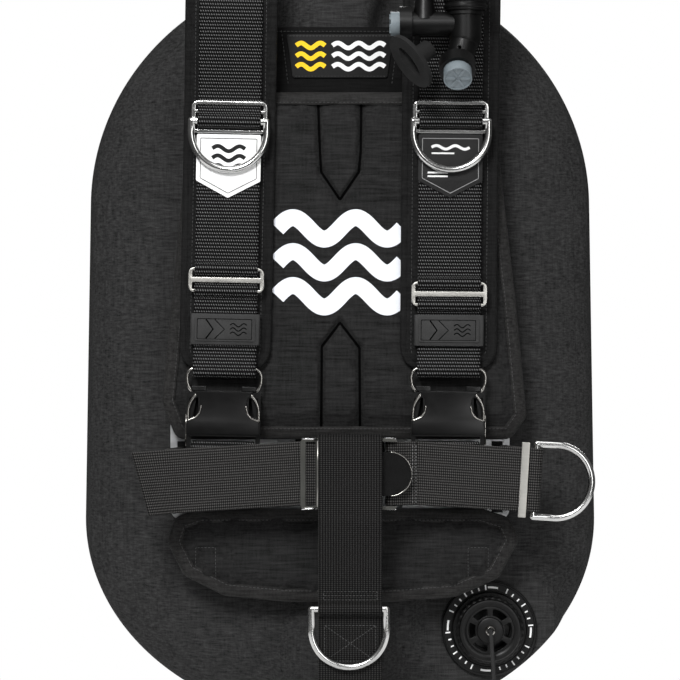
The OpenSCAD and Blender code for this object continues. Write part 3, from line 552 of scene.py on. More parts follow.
def slab(name, outlines, y0, y1, material, bevel=0.4, place=None, **kw):
    """A plate from y0 back to y1 with rounded edges; outlines are closed (x, z) lines, holes among them."""
    curve = bpy.data.curves.new(name + "_c", "CURVE")
    curve.dimensions = "2D"
    curve.fill_mode = "BOTH"
    for line in outlines:
        s = curve.splines.new("POLY")
        s.points.add(len(line) - 1)
        for q, (x, z) in zip(s.points, line):
            q.co = (x, z, 0, 1)
        s.use_cyclic_u = True
    half = (y1 - y0) / 2
    curve.bevel_depth = bevel
    curve.bevel_resolution = 2
    curve.offset = -bevel
    curve.extrude = max(0.0, half - bevel)
    o = bpy.data.objects.new(name + "_c", curve)
    scene.collection.objects.link(o)
    dg = bpy.context.evaluated_depsgraph_get()
    dg.update()
    me = bpy.data.meshes.new_from_object(o.evaluated_get(dg))
    co = np.array([v.co for v in me.vertices], float)
    faces = [list(f.vertices) for f in me.polygons]
    bpy.data.objects.remove(o)
    # The curve lies in its own XY plane: its z becomes depth
    co = np.stack([co[:, 0], (y0 + y1) / 2 - co[:, 2], co[:, 1]], 1)
    made = piece(name, place(co) if place else co, faces, material, smooth=True, **kw)
    weld(made)
    smooth_by_angle(made, 40)
    return made


def weld(o):
    """Joins points that coincide."""
    bm = bmesh.new()
    bm.from_mesh(o.data)
    bmesh.ops.remove_doubles(bm, verts=bm.verts, dist=2e-6)
    bm.to_mesh(o.data)
    bm.free()


def lathe(name, profile, centre, axis, material, sides=64, **kw):
    """A turned piece: profile is (radius, distance along axis) from a closed or open line."""
    axis = unit(axis)
    side = unit(np.cross(axis, [0.3, 0.2, 0.9]))
    up = np.cross(axis, side)
    a = np.linspace(0, 2 * math.pi, sides, endpoint=False)
    pr = np.asarray(profile, float)
    ring = side * np.cos(a)[:, None] + up * np.sin(a)[:, None]
    co = np.asarray(centre, float) + ring[:, None] * pr[None, :, 0:1] + axis * pr[None, :, 1:2]
    faces, _, _ = grid_faces(sides, len(pr), True, False)
    o = piece(name, co.reshape(-1, 3), faces, material, **kw)
    weld(o)
    smooth_by_angle(o, 32)
    return o


def surface(*objects):
    """A tree for dropping points onto pieces along Y, in millimetres."""
    co, faces = [], []
    for o in objects:
        base = len(co)
        co += [tuple(o.matrix_world @ v.co / MM) for v in o.data.vertices]
        faces += [[base + i for i in f.vertices] for f in o.data.polygons]
    return BVHTree.FromPolygons(co, faces)


def drop(tree, xz, proud=0.0, from_y=-400.0, back=False):
    """Points and normals where lines along Y through xz first meet the tree."""
    out, normals = [], []
    way = Vector((0, -1, 0)) if back else Vector((0, 1, 0))
    last = None
    for x, z in xz:
        hit, normal, _, _ = tree.ray_cast(Vector((x, -from_y if back else from_y, z)), way)
        if hit is None:
            hit, normal = (last if last else (Vector((x, 0, z)), -way))
            hit = Vector((x, hit.y, z))
        if normal.dot(way) > 0:
            normal = -normal
        last = (hit, normal)
        out.append(hit + normal * proud)
        normals.append(normal)
    return np.array(out, float), np.array(normals, float)


def stitches(name, runs, material=None, pitch=3.1, length=2.3, thick=0.42, body="root", place=None,
             slot="webbing"):
    """One bead of thread for each stitch. runs holds (points, outward normals) along each seam."""
    template = []
    for x, k in ((-0.5, 0.0), (-0.38, 0.75), (0, 1.0), (0.38, 0.75), (0.5, 0.0)):
        for a in range(6):
            template.append((x * length, 0.5 * thick * k * math.cos(a * math.pi / 3),
                             0.5 * thick * k * math.sin(a * math.pi / 3)))
    quads = [[r * 6 + a, r * 6 + (a + 1) % 6, r * 6 + 6 + (a + 1) % 6, r * 6 + 6 + a] for r in range(4)
             for a in range(6)]
    template = np.array(template)
    co, faces = [], []
    for pts, normals in runs:
        pts, normals = np.asarray(pts, float), np.asarray(normals, float)
        normals = np.broadcast_to(normals, pts.shape)
        s = lengths(pts)
        count = int(s[-1] / pitch)
        if count < 1:
            continue
        for k in range(count):
            at = (k + 0.5) * s[-1] / count
            c = np.array([np.interp(at, s, pts[:, i]) for i in range(3)])
            a = np.array([np.interp(at - 0.8, s, pts[:, i]) for i in range(3)])
            b = np.array([np.interp(at + 0.8, s, pts[:, i]) for i in range(3)])
            nrm = unit(np.array([np.interp(at, s, normals[:, i]) for i in range(3)]))
            t = unit(b - a)
            w = unit(np.cross(nrm, t))
            base = len(co) * 30
            co.append(c + template[:, :1] * t + template[:, 1:2] * w + template[:, 2:3]
                      * unit(np.cross(t, w)) + nrm * thick * 0.2)
            faces += [[base + i for i in q] for q in quads]
    co = np.concatenate(co)
    o = piece(name, place(co) if place else co, faces, material or THREAD, body=body, slot=slot)
    weld(o)
    return o


FRONT = np.array([0.0, -1.0, 0.0])


def seam_at(y, *lines):
    """Seams on a flat face at depth y; lines are (x, z) points."""
    return [(np.array([(x, y, z) for x, z in resample(line, 1.5)]), FRONT) for line in lines]


# ---- Pull cord of the dump valve: first, because its place comes from the frame ----
CORD_R = 1.5
cord_points = [[120.5, -29, -234], [120.5, -31.6, -234], [120.6, -34.2, -235.8], [121, -35.4, -240],
               [121.4, -35.4, -247], [122, -35, -255], [122.6, -34.4, -264], [123, -34, -274],
               [123.4, -33.6, -284], [123.8, -33.2, -294], [124, -33, -304], [124, -33, -314]]
cord_line = eased(cord_points, 1.0, 0.9)


def braid():
    m = Mat("cord_braid", Sheen_Weight=0.02, Specular_IOR_Level=0.08)
    u, v = m.uv()
    one = m.wave(m.math("MULTIPLY_ADD", v, 0.9, u), 1.1 * MM)
    two = m.wave(m.math("MULTIPLY_ADD", v, -0.9, u), 1.1 * MM)
    height = m.math("MAXIMUM", one, two)
    # The colour follows the braid's height, dark between the strands and pale on them: painted shade and
    # light.
    m.colour(m.ramp(height, (0.2, grey(6)), (1.0, grey(58))))
    m.rough(m.noise(80), 0.55, 0.7)
    m.bump(height, 0.25)
    return m.made


BRAID = braid()
pull_cord = tube("pull_cord_braided", cord_line, CORD_R, BRAID, 14, body="dump_pull", slot="webbing",
                 replaces=["pull_cord"])

# ---- Air cell ----
TANK_R, TANK_Y = 92.0, 98.0
VALVE = (120.5, -234.0)
CELL_FRONT, CELL_BACK = 20.0, 36.0
FRONT_LIMIT = -24.2             # the front is pressed flat against the plate and the neck panel


def half_ring(angle, half, c, height):
    a = np.radians(angle)
    return np.stack([c[0] + half * np.cos(a), c[1] + height * np.sin(a)], 1)


def ring_line(half_top, half_bottom, top, rise, bottom, drop, n=110, side=50):
    """A ring's line: half an ellipse over the top, straight down, half an ellipse below, straight up."""
    over = half_ring(np.linspace(0, 180, n), half_top, top, rise)
    under = half_ring(np.linspace(180, 360, n), half_bottom, bottom, drop)
    k = np.linspace(0, 1, side + 2)[1:-1, None]
    return np.concatenate([over, over[-1] + (under[0] - over[-1]) * k, under,
                           under[-1] + (over[0] - under[-1]) * k])


outer_line = ring_line(203, 207, (0, 108), 194, (0, -146), 167)
inner_line = ring_line(56, 56, (0, 130), 66, (0, -125), 55)


def tank_face(x):
    return np.where(np.abs(x) < TANK_R, TANK_Y - np.sqrt(np.maximum(TANK_R**2 - x**2, 0)), TANK_Y)


def seam_depth(x, free):
    return np.minimum(free, tank_face(x) - 13)


def puff(u):
    return np.maximum(0, 1 - np.abs(2 * u - 1) ** 2.6) ** 0.55


def seat(p, x, z, radius, near=14.0):
    return smooth01((radius + 16 - np.hypot(p[..., 0] - x, p[..., 1] - z)) / near)


ROWS = 30
u_rows = 0.5 - 0.5 * np.cos(np.linspace(0, math.pi, ROWS))
flat_p = inner_line[:, None] + (outer_line - inner_line)[:, None] * u_rows[None, :, None]
inner_depth, outer_depth = seam_depth(inner_line[:, 0], 2), seam_depth(outer_line[:, 0], 18)
mid_depth = inner_depth[:, None] * (1 - u_rows) + outer_depth[:, None] * u_rows
mid_depth = np.minimum(mid_depth, tank_face(flat_p[..., 0]) - 13)
reach = np.linalg.norm(outer_line - inner_line, axis=1)[:, None]
from_outer, from_inner = reach * (1 - u_rows), reach * u_rows
around_out, around_in = lengths(outer_line)[:, None], lengths(inner_line)[:, None]
at_seam = ((u_rows > 0.001) & (u_rows < 0.999))[None, :]
broad = lumps(flat_p.reshape(-1, 2), 95, 4).reshape(flat_p.shape[:2])
small = lumps(flat_p.reshape(-1, 2), 34, 9).reshape(flat_p.shape[:2])
pucker_out = ripple(around_out[:, 0], 21, 3)[:, None] * np.exp(-from_outer / 15) * smooth01(from_outer / 5)
pucker_fine = ripple(around_out[:, 0], 9, 12)[:, None] * np.exp(-from_outer / 7) * smooth01(from_outer / 3)
pucker_in = ripple(around_in[:, 0], 13, 5)[:, None] * np.exp(-from_inner / 13) * smooth01(from_inner / 4)
creases = 1.1 * pucker_out + 0.4 * pucker_fine + 0.9 * pucker_in
front_y = mid_depth - CELL_FRONT * puff(u_rows)[None]
front_y = front_y + at_seam * (0.9 * broad + 0.25 * small + creases) + 0.6
# A seam line runs just inside the edge over the wearer's left shoulder, with short folds across it
shoulder = smooth01((outer_line[:, 0] - 90) / 40) * smooth01((outer_line[:, 1] - 105) / 40)
groove = np.exp(-((from_outer - 11) / 2.4) ** 2) * (0.35 + 1.1 * shoulder[:, None])
front_y = front_y + at_seam * groove
for fx, fz, turn in ((184, 184, 0.5), (193, 151, 0.25), (196, -8, 0.05), (-194, 128, -0.25),
                     (-176, 196, -0.6), (197, -70, 0)):
    dx, dz = flat_p[..., 0] - fx, flat_p[..., 1] - fz
    along, off = dx * math.cos(turn) + dz * math.sin(turn), -dx * math.sin(turn) + dz * math.cos(turn)
    front_y += at_seam * 1.3 * np.exp(-(off / 3.2) ** 2 - (along / 17) ** 2)
front_y = np.maximum(front_y, FRONT_LIMIT)
# The cell is pressed flat round the hose elbow and round the dump valve
for seat_x, seat_z, seat_r, seat_y in ((72, 250, 36, -4.4), (*VALVE, 50, -4.7)):
    pull = seat(flat_p, seat_x, seat_z, seat_r) * at_seam
    front_y = front_y * (1 - pull) + seat_y * pull
tuck = 1.2 * (broad + 1) + 0.6 * np.abs(small) + np.abs(creases)
back_y = mid_depth + CELL_BACK * puff(u_rows)[None] - at_seam * tuck
back_y = np.minimum(back_y, tank_face(flat_p[..., 0]) - 3.4)
front = np.concatenate([flat_p[..., :1], front_y[..., None], flat_p[..., 1:]], 2)
rear = np.concatenate([flat_p[..., :1], back_y[..., None], flat_p[..., 1:]], 2)
skin = np.concatenate([front, rear[:, -2:0:-1]], 1)
cell_faces, _, _ = grid_faces(skin.shape[0], skin.shape[1], True, True)
air_cell = piece("air_cell_shell", skin, cell_faces[:, ::-1], CELL, slot="wing_cloth",
                 replaces=["wing_shell_front", "wing_shell_back"])
outer_pipe = np.stack([outer_line[:, 0], outer_depth, outer_line[:, 1]], 1)
inward = unit(np.stack([inner_line[:, 0] - outer_line[:, 0], 0 * outer_line[:, 0],
                        inner_line[:, 1] - outer_line[:, 1]], 1))
tube("air_cell_outer_piping", outer_pipe + inward * 1.3, 1.5, TAPE, 10, closed=True, slot="wing_cloth")
inner_pipe = np.stack([inner_line[:, 0], inner_depth, inner_line[:, 1]], 1)
tube("air_cell_inner_piping", inner_pipe - inward * 0.4, 1.1, TAPE, 8, closed=True, slot="wing_cloth")
cell_tree = surface(air_cell)


def inset_line(line, other, by):
    return line + unit(other - line) * by


for label, back in (("front", False), ("back", True)):
    xz = resample(inset_line(outer_line, inner_line, 14.0), 2.0, True)
    pts, normals = drop(cell_tree, xz, 0.05, back=back)
    stitches("air_cell_stitches_" + label, [(pts, normals)], THREAD_DARK, 3.4, 2.5, 0.4, slot="wing_cloth")

# ---- Centre panel, with bound slots ----
panel_line = ring_line(54, 54, (0, 130), 58, (0, -125), 53, 40, 6)


def circle(x, z, r, n=32):
    return [(x + r * math.cos(2 * math.pi * i / n), z + r * math.sin(2 * math.pi * i / n))
            for i in range(n)]


def rectangle(x0, x1, z0, z1, r=1.0):
    return rounded([(x0, z0), (x1, z0), (x1, z1), (x0, z1)], r, 3)


holes = [circle(0, s * 139.7, 7.5) for s in (-1, 1)]
holes += [rectangle(s * 34 - 6.5, s * 34 + 6.5, b * 75 - 27, b * 75 + 27) for s in (-1, 1) for b in (-1, 1)]
holes.append(rectangle(-19, 35, -177, -152))
slab("centre_panel_cloth", [panel_line.tolist()] + holes, 1.0, 3.0, CELL, 0.6, slot="wing_cloth",
     replaces=["wing_center_panel"])
slot_runs = [rectangle(s * 34 - 9, s * 34 + 9, b * 75 - 29.5, b * 75 + 29.5, 2) for s in (-1, 1)
             for b in (-1, 1)]
panel_edge = (panel_line * [0.93, 0.96]).tolist()
BACKWARD = np.array([0.0, 1.0, 0.0])
stitches("centre_panel_stitches",
         [(p, BACKWARD) for p, _ in seam_at(3.05, *[r + r[:1] for r in slot_runs], panel_edge)], THREAD,
         3.2, 2.3, 0.4, slot="wing_cloth")


# ---- Padded pieces ----
def evaluated(o, *modifiers):
    """Replaces the mesh by what these modifiers make of it."""
    for kind, values in modifiers:
        m = o.modifiers.new(kind.lower(), kind)
        for k, v in values.items():
            setattr(m, k, v)
    dg = bpy.context.evaluated_depsgraph_get()
    dg.update()
    me = bpy.data.meshes.new_from_object(o.evaluated_get(dg))
    o.modifiers.clear()
    o.data = me


def mesh_points(me):
    co = np.zeros(len(me.vertices) * 3, np.float32)
    me.vertices.foreach_get("co", co)
    return co.reshape(-1, 3).astype(float) / MM


def points_of(o):
    return mesh_points(o.data)


def set_points(o, co):
    o.data.vertices.foreach_set("co", (co * MM).astype(np.float32).ravel())
    o.data.update()


def swell(o, outline, cap, hold, pressure=4.0):
    """Lets a pad swell under pressure as cloth; its sewn edge, within hold of the outline, stays put."""
    evaluated(o, ("REMESH", {"mode": "VOXEL", "voxel_size": 4.2 * MM}))
    before = points_of(o)
    cloth = o.modifiers.new("swell", "CLOTH")
    s = cloth.settings
    s.quality = 4
    s.mass = 0.25
    s.tension_stiffness = s.compression_stiffness = 12
    s.bending_stiffness = 0.6
    s.use_pressure = True
    s.uniform_pressure_force = pressure
    s.effector_weights.gravity = 0
    cloth.point_cache.frame_start, cloth.point_cache.frame_end = 1, 20
    for f in range(1, 21):
        scene.frame_set(f)
    swollen = o.evaluated_get(bpy.context.evaluated_depsgraph_get())
    move = mesh_points(swollen.to_mesh()) - before
    swollen.to_mesh_clear()
    o.modifiers.clear()
    size = np.linalg.norm(move, axis=1, keepdims=True)
    move *= np.minimum(1, cap / np.maximum(size, 1e-9))
    d, _ = edge_distance(before[:, [0, 2]], outline)
    move *= smooth01((d - 2) / hold)[:, None]
    move[:, 1] -= move[:, 1].mean()
    set_points(o, before + move)
    evaluated(o, ("SUBSURF", {"levels": 2, "render_levels": 2}))
    o.data.polygons.foreach_set("use_smooth", [True] * len(o.data.polygons))


def pad_body(name, outline, centre, y_mid, thickness, material):
    """A closed pad: rings from the outline in to the centre, front and back.

    thickness gives (front, back) by distance in."""
    line = resample(outline, 3.0, True)
    rings = np.linspace(1, 0, 46)
    co = []
    for front_side in (True, False):
        for s in rings[:-1]:
            xz = np.asarray(centre) + (line - centre) * s
            d, _ = edge_distance(xz, line)
            h = thickness(d)[0 if front_side else 1]
            y = y_mid - h if front_side else y_mid + h
            co.append(np.stack([xz[:, 0], y, xz[:, 1]], 1))
    n = len(line)
    half = len(rings) - 1
    co = np.concatenate(co)
    deep = thickness(np.array([edge_distance(np.array([centre], float), line)[0][0]]))
    co = np.concatenate([co, [[centre[0], y_mid - deep[0][0], centre[1]],
                              [centre[0], y_mid + deep[1][0], centre[1]]]])
    faces = []

    def strip(a, b):
        return [[a * n + i, a * n + (i + 1) % n, b * n + (i + 1) % n, b * n + i] for i in range(n)]

    for k in range(half - 1):
        faces += strip(k, k + 1)
        faces += [f[::-1] for f in strip(half + k, half + k + 1)]
    faces += strip(half, 0)
    last = (half - 1) * n
    faces += [[last + i, last + (i + 1) % n, 2 * half * n] for i in range(n)]
    last = (2 * half - 1) * n
    faces += [[last + (i + 1) % n, last + i, 2 * half * n + 1] for i in range(n)]
    return piece(name, co, faces, material)


def dent(co, line, depth, width, closed=False):
    """How far each point of a pad's front sinks towards its middle beside a seam."""
    d, _ = edge_distance(co[:, [0, 2]], line, closed)
    return depth * np.exp(-((d / width) ** 2))


def fringe(co, line, amp, wave, seed, start, fade):
    """Puckers that run in from a sewn edge."""
    d, s = edge_distance(co[:, [0, 2]], line)
    fading = np.exp(-np.maximum(d - start, 0) / fade)
    return amp * ripple(s, wave, seed) * fading * smooth01((d - start + 3) / 5)


def binding(name, outline, y_mid, half, wide, rise, material=None, closed=True, seed=3, slot="pad_cloth"):
    """Tape folded over a pad's edge, wide across each face; half is the pad's half thickness at its edge."""
    line = resample(outline, 2.0, closed)
    s = lengths(line, closed)[: len(line)]
    if closed:
        t = unit(np.roll(line, -1, 0) - np.roll(line, 1, 0))
    else:
        t = unit(np.gradient(line, axis=0))
    inside = np.stack([-t[:, 1], t[:, 0]], 1)
    area = np.sum(line[:, 0] * np.roll(line[:, 1], -1) - line[:, 1] * np.roll(line[:, 0], -1))
    if area < 0:
        inside = -inside
    # (inwards, forwards) round the fold, outer side then inner side
    outer = [(wide, half + rise), (wide * 0.72, half + rise * 0.72), (wide * 0.4, half + rise * 0.3),
             (1.2, half - 0.2), (-0.3, half - 1.5), (-0.9, half * 0.4), (-1.0, 0), (-0.9, -half * 0.4),
             (-0.3, -half + 1.5), (1.2, -half + 0.2), (wide * 0.4, -half - rise * 0.2),
             (wide, -half - rise * 0.5)]
    inner = [(wide, -half - rise * 0.5 + 0.9), (wide * 0.4, -half - rise * 0.2 + 0.9), (0.9, -half + 1.3),
             (0.3, 0), (0.9, half - 1.3), (wide * 0.4, half + rise * 0.3 - 0.9), (wide, half + rise - 0.9)]
    sec = np.array(outer + inner)
    m = len(sec)
    wob = 0.28 * ripple(s, 13, seed) + 0.16 * ripple(s, 5, seed + 1)
    wide_wob = 0.35 * ripple(s, 37, seed + 2)
    co = np.zeros((len(line), m, 3))
    for k, (a, b) in enumerate(sec):
        share = a / wide
        inn = a + (wide_wob * max(share, 0))
        xz = line + inside * inn[:, None]
        co[:, k, 0], co[:, k, 2] = xz[:, 0], xz[:, 1]
        co[:, k, 1] = y_mid - (b + (wob * (0.3 + 0.7 * max(share, 0)) if b > 0 else 0))
    run = np.concatenate([[0], np.cumsum(np.linalg.norm(np.diff(sec, axis=0), axis=1)), [0]])
    run[-1] = run[-2] + np.linalg.norm(sec[0] - sec[-1])
    faces, ci, cj = grid_faces(len(line), m, closed, True)
    full = np.append(s, lengths(line, closed)[-1])
    uvs = np.stack([run[cj] * MM, full[ci] * MM], -1).reshape(-1, 2).tolist()
    faces = faces.tolist()
    if not closed:
        for k, ring in ((0, range(m)), (len(line) - 1, range(m - 1, -1, -1))):
            faces.append([k * m + j for j in ring])
            uvs += [(0, 0)] * m
    o = piece(name, co.reshape(-1, 3), faces, material or TAPE, uvs=uvs, slot=slot)
    stitch_line = line + inside * (wide - 1.7)
    return o, stitch_line


def on_tree(tree, lines, proud=0.02):
    return [drop(tree, resample(line, 1.2), proud) for line in lines]


def press_front(o, co, sink, foremost):
    """Presses a pad's front in by sink, and keeps the pad between foremost and the backplate."""
    co[:, 1] += smooth01((PAD_MID - co[:, 1]) / 2.5) * sink
    co[:, 1] = np.clip(co[:, 1], foremost, PAD_BACK)
    set_points(o, co)


# Back pad: sewn channels down the middle
pad_line = rounded([[-112, 196], [112, 196], [127, 137], [139, 33], [148, -62], [136, -79], [-130, -79],
                    [-141, -50], [-124, 129]], 9)
PAD_MID, PAD_BACK = -37.6, -29.2


def pad_thickness(d):
    return 3.6 + 4.0 * smooth01(d / 24), 3.6 + 4.2 * smooth01(d / 20)


back_pad = pad_body("back_pad_cloth", pad_line, (4, 55), PAD_MID, pad_thickness, PAD)
swell(back_pad, pad_line, 2.2, 20)
co = points_of(back_pad)
spine_top = [(-17.5, 192), (-16, 150), (-15, 133), (0, 111), (15, 133), (16.5, 150), (17, 192)]
spine_low = [(-15, -79), (-14.5, -6), (0, 13), (15.5, -7), (16, -79)]
sink = dent(co, spine_top, 3.1, 2.3) + dent(co, spine_low, 2.8, 2.3)
sink += dent(co, spine_top, 1.3, 7) + dent(co, spine_low, 1.1, 7)
for line in ([(-15, 133), (-31, 109)], [(16, 133), (40, 104)], [(-14.5, -6), (-30, 12)],
             [(15.5, -7), (44, 25)], [(0, 111), (0, 100)], [(0, 13), (0, 24)]):
    sink += dent(co, line, 0.9, 2.6)
for line in ([(-60, 190), (-56, 176)], [(20, 186), (28, 176)], [(58, 188), (50, 172)],
             [(-34, 188), (-38, 178)]):
    sink += dent(co, line, 0.8, 3.5)
flat = co[:, [0, 2]]
sink += fringe(co, pad_line, 0.9, 17, 21, 9, 16) + 0.5 * lumps(flat, 60, 8) + 0.16 * lumps(flat, 17, 18)
press_front(back_pad, co, sink, -46.4)
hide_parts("back_pad")
_, pad_stitch = binding("back_pad_binding", pad_line, PAD_MID, 3.9, 9.2, 2.3, seed=11)
pad_tree = surface(back_pad)
bind_tree = surface(bpy.data.objects["back_pad_binding"])
stitches("back_pad_binding_stitches", [drop(bind_tree, resample(pad_stitch, 1.5, True), 0.05)], THREAD, 3.2,
         2.3, 0.42, slot="pad_cloth")
stitches("back_pad_channel_stitches", on_tree(pad_tree, (spine_top, spine_low), 0.05), THREAD_DARK, 2.9, 2.1,
         0.38, slot="pad_cloth")


def printed(name, strips, tree, material, proud=0.32, slot="patch_white", y=None, thick=0.3, body="root",
            place=None):
    """Printed bands: each strip is (centre line, width, n across), laid on a tree or at a flat depth y."""
    co, faces = [], []
    for line, width, across in strips:
        line = np.asarray(line, float)
        t = unit(np.gradient(line, axis=0))
        side = np.stack([-t[:, 1], t[:, 0]], 1)
        w = np.broadcast_to(np.asarray(width, float), (len(line),))
        ks = np.linspace(-0.5, 0.5, across)
        xz = (line[:, None] + side[:, None] * (w[:, None, None] * ks[None, :, None])).reshape(-1, 2)
        if y is None:
            top, _ = drop(tree, xz, 0)
            top = top - [0, proud, 0]
        else:
            top = np.stack([xz[:, 0], np.full(len(xz), y), xz[:, 1]], 1)
        low = top + [0, thick, 0]
        n, m = len(line), across
        base = sum(len(c) for c in co)
        f, _, _ = grid_faces(n, m)
        faces += (f + base).tolist() + [q[::-1] for q in (f + base + n * m).tolist()]
        rim = [i * m for i in range(n)] + [(n - 1) * m + j for j in range(1, m)]
        rim += [i * m + m - 1 for i in range(n - 2, -1, -1)] + list(range(m - 2, 0, -1))
        for a, b in zip(rim, rim[1:] + rim[:1]):
            faces.append([base + b, base + a, base + a + n * m, base + b + n * m])
        co += [top, low]
    co = np.concatenate(co)
    o = piece(name, place(co) if place else co, faces, material, body=body, slot=slot)
    bm = bmesh.new()
    bm.from_mesh(o.data)
    bmesh.ops.recalc_face_normals(bm, faces=bm.faces)
    bm.to_mesh(o.data)
    bm.free()
    smooth_by_angle(o, 50)
    return o


def wave_line(x0, x1, z, rise, waves, n=60):
    x = np.linspace(x0, x1, n)
    return np.stack([x, z + rise * np.sin(2 * math.pi * waves * (x - x0) / (x1 - x0))], 1)


# A plain mark of three waves where the real one has its maker's sign
# Near-black strips along the sewn channels stand for the shade down in them: painted shade.
printed("back_pad_channel_shade", [(resample(line, 1.5), 2.0, 2) for line in (spine_top, spine_low)], pad_tree,
        GROOVE_SHADE, proud=0.2, slot="pad_cloth")
printed("pad_wave_mark", [(wave_line(-50, 50, z, 8.5, 2, 90), 13.5, 9) for z in (88, 61, 34)], pad_tree,
        EMBLEM, slot="patch_white")

# Lumbar pad
lumbar_line = rounded([[-112, -136], [112, -136], [134, -143], [142, -160], [126, -190], [92, -205],
                       [40, -209], [-40, -209], [-92, -204], [-124, -188], [-137, -162], [-131, -143]], 8)


def lumbar_thickness(d):
    return 3.4 + 4.2 * smooth01(d / 22), 3.4 + 4.2 * smooth01(d / 20)


lumbar = pad_body("lumbar_pad_cloth", lumbar_line, (2, -170), PAD_MID, lumbar_thickness, PAD)
swell(lumbar, lumbar_line, 2.6, 16)
co = points_of(lumbar)
sink = fringe(co, lumbar_line, 1.7, 19, 31, 9, 15) + fringe(co, lumbar_line, 0.6, 7, 35, 9, 7)
for x0, z0, x1, z1, deep, wide in ((-100, -150, -84, -182, 1.4, 5), (-76, -150, -90, -176, 1.1, 5),
                                   (-92, -186, -70, -196, 1.2, 4), (-66, -192, -30, -199, 1.0, 4),
                                   (92, -150, 76, -176, 1.2, 5), (70, -190, 96, -178, 1.1, 5),
                                   (30, -198, 64, -190, 1.0, 4.5), (100, -176, 110, -156, 1.0, 4),
                                   (-60, -160, -40, -150, 0.7, 6), (40, -152, 62, -162, 0.7, 6),
                                   (-120, -150, -112, -178, 1.0, 4)):
    sink += dent(co, [(x0, z0), (x1, z1)], deep, wide)
tabs = [rectangle(-115, -99, -191, -166, 1), rectangle(102, 118, -191, -166, 1)]
for tab in tabs:
    sink += dent(co, tab, 0.9, 1.6, True)
flat = co[:, [0, 2]]
sink += 0.7 * lumps(flat, 36, 14) + 0.2 * lumps(flat, 13, 15)
press_front(lumbar, co, sink, -46.8)
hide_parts("lumbar_pad")
_, lumbar_stitch = binding("lumbar_pad_binding", lumbar_line, PAD_MID, 3.7, 10.0, 2.2, seed=23)
lumbar_bind_tree = surface(bpy.data.objects["lumbar_pad_binding"])
lumbar_tree = surface(lumbar)
stitches("lumbar_binding_stitches", [drop(lumbar_bind_tree, resample(lumbar_stitch, 1.5, True), 0.05)],
         THREAD, 3.2, 2.3, 0.42, slot="pad_cloth")
stitches("lumbar_tab_stitches", on_tree(lumbar_tree, [tab + tab[:1] for tab in tabs], 0.05), THREAD, 2.8, 2.0,
         0.38, slot="pad_cloth")

# ---- Neck panel and its label ----
neck_line = rounded([[-58, 160], [58, 160], [60, 200], [54, 250], [-54, 250], [-60, 200]], 5)
# The neck panel's near-black cloth is painted shade.
slab("neck_panel_cloth", [neck_line], -28.4, -25.4, NECK_SHADED, 0.9, slot="pad_cloth", replaces=["neck_panel"])
label_line = rounded([[-43, 244], [43, 244], [38, 209], [-38, 209]], 2)
slab("neck_label_base", [label_line], -29.8, -28.6,
     moulded("label_black", grey(5), grey(16), (0.45, 0.6), 0.06), 0.4, slot="label",
     replaces=["neck_label"])
slant = [(-47, 248), (-41.5, 204)]
stitches("neck_panel_stitches",
         seam_at(-28.45, slant, [(-x, z) for x, z in slant], [(-53, 246), (-57, 200), (-55, 164)],
         [(53, 246), (57, 200), (55, 164)], [(-52, 246.5), (52, 246.5)]), THREAD, 3.0, 2.2, 0.4,
         slot="pad_cloth")
stitches("neck_label_stitches",
         seam_at(-29.85, [(-41, 242.6), (41, 242.6)], [(-36.6, 210.4), (36.6, 210.4)]), THREAD, 2.6, 1.9,
         0.35, slot="label")
printed("neck_label_waves_yellow", [(wave_line(-35, -12, z, 2.0, 1.5), 3.6, 4) for z in (235, 226.5, 218)],
        None, INK_YELLOW, y=-30.1, slot="label")
printed("neck_label_waves_white", [(wave_line(-6, 36, z, 2.0, 2.5), 3.6, 4) for z in (235, 226.5, 218)],
        None, INK_WHITE, y=-30.1, slot="label")

# ---- Straps ----
WIDE, THICK = 50.0, 2.2
STRAP_SECTION = flat_section(WIDE, THICK)
STRAP_Y, TAIL_Y, HOOK_Y, RING_Y = -60.3, -57.7, -58.6, -66.4
UPPER_BAR, LOWER_BAR, SLIDER_Z = -26.0, -85.5, 172.0
WRAP = 2.5 + 0.3 + THICK / 2
RING_WIRE = 2.75
TRIGLIDE_Z = {"left": 35.5, "right": 46.6}
KEEPER_Z = {"left": 6.8, "right": 7.7}


def upright(yz, x=0.0):
    yz = np.asarray(yz, float)
    return np.stack([np.full(len(yz), x), yz[:, 0], yz[:, 1]], 1)


TRIGLIDE_HALF = [[STRAP_Y, 1], [-60.35, 2.2], [-61.1, 3.25], [-64.9, 6.6], [-65.35, 7.9], [-65.35, 9.3],
                 [-64.95, 10.7], [-63.4, 11.8], [-61, 12.7], [STRAP_Y, 13.6]]


def shoulder_path(z):
    """Down the strap; at a triglide it goes behind the middle bar and over the outer ones."""
    over = [[y, z + d] for y, d in TRIGLIDE_HALF[::-1]] + [[y, z - d] for y, d in TRIGLIDE_HALF]
    return ([[-19.6, 120], [-19.6, 170], [-20, 177], [-22, 181.5], [-25, 184.2], [-27, 187], [-27.6, 191],
             [-27.7, 198], [-31, 205], [-44, 231], [-46.6, 240],
             [-47, 250]] + arc((-59, 300), 12, 0, 180, 12)
            + [[-71, 262], [-70.4, 254], [-61.4, 204], [STRAP_Y, 196], [STRAP_Y, 185.2], [-61, 184],
               [-62.5, 183.1], [-64.2, 182.1], [-65.2, 180.2], [-66, 178]]
            + arc((RING_Y, SLIDER_Z), RING_WIRE + 0.35 + THICK / 2, 110, 262, 8)
            + [[-63.4, 167.7], [-61.6, 167.2], [STRAP_Y, 165.6], [STRAP_Y, 160]] + over
            + [[STRAP_Y, -12], [-61.4, -18]]
            + arc((HOOK_Y, UPPER_BAR), WRAP, 180, 360, 10)
            + [[-55.4, -20], [-57.3, -14], [TAIL_Y, -8], [TAIL_Y, 60]])


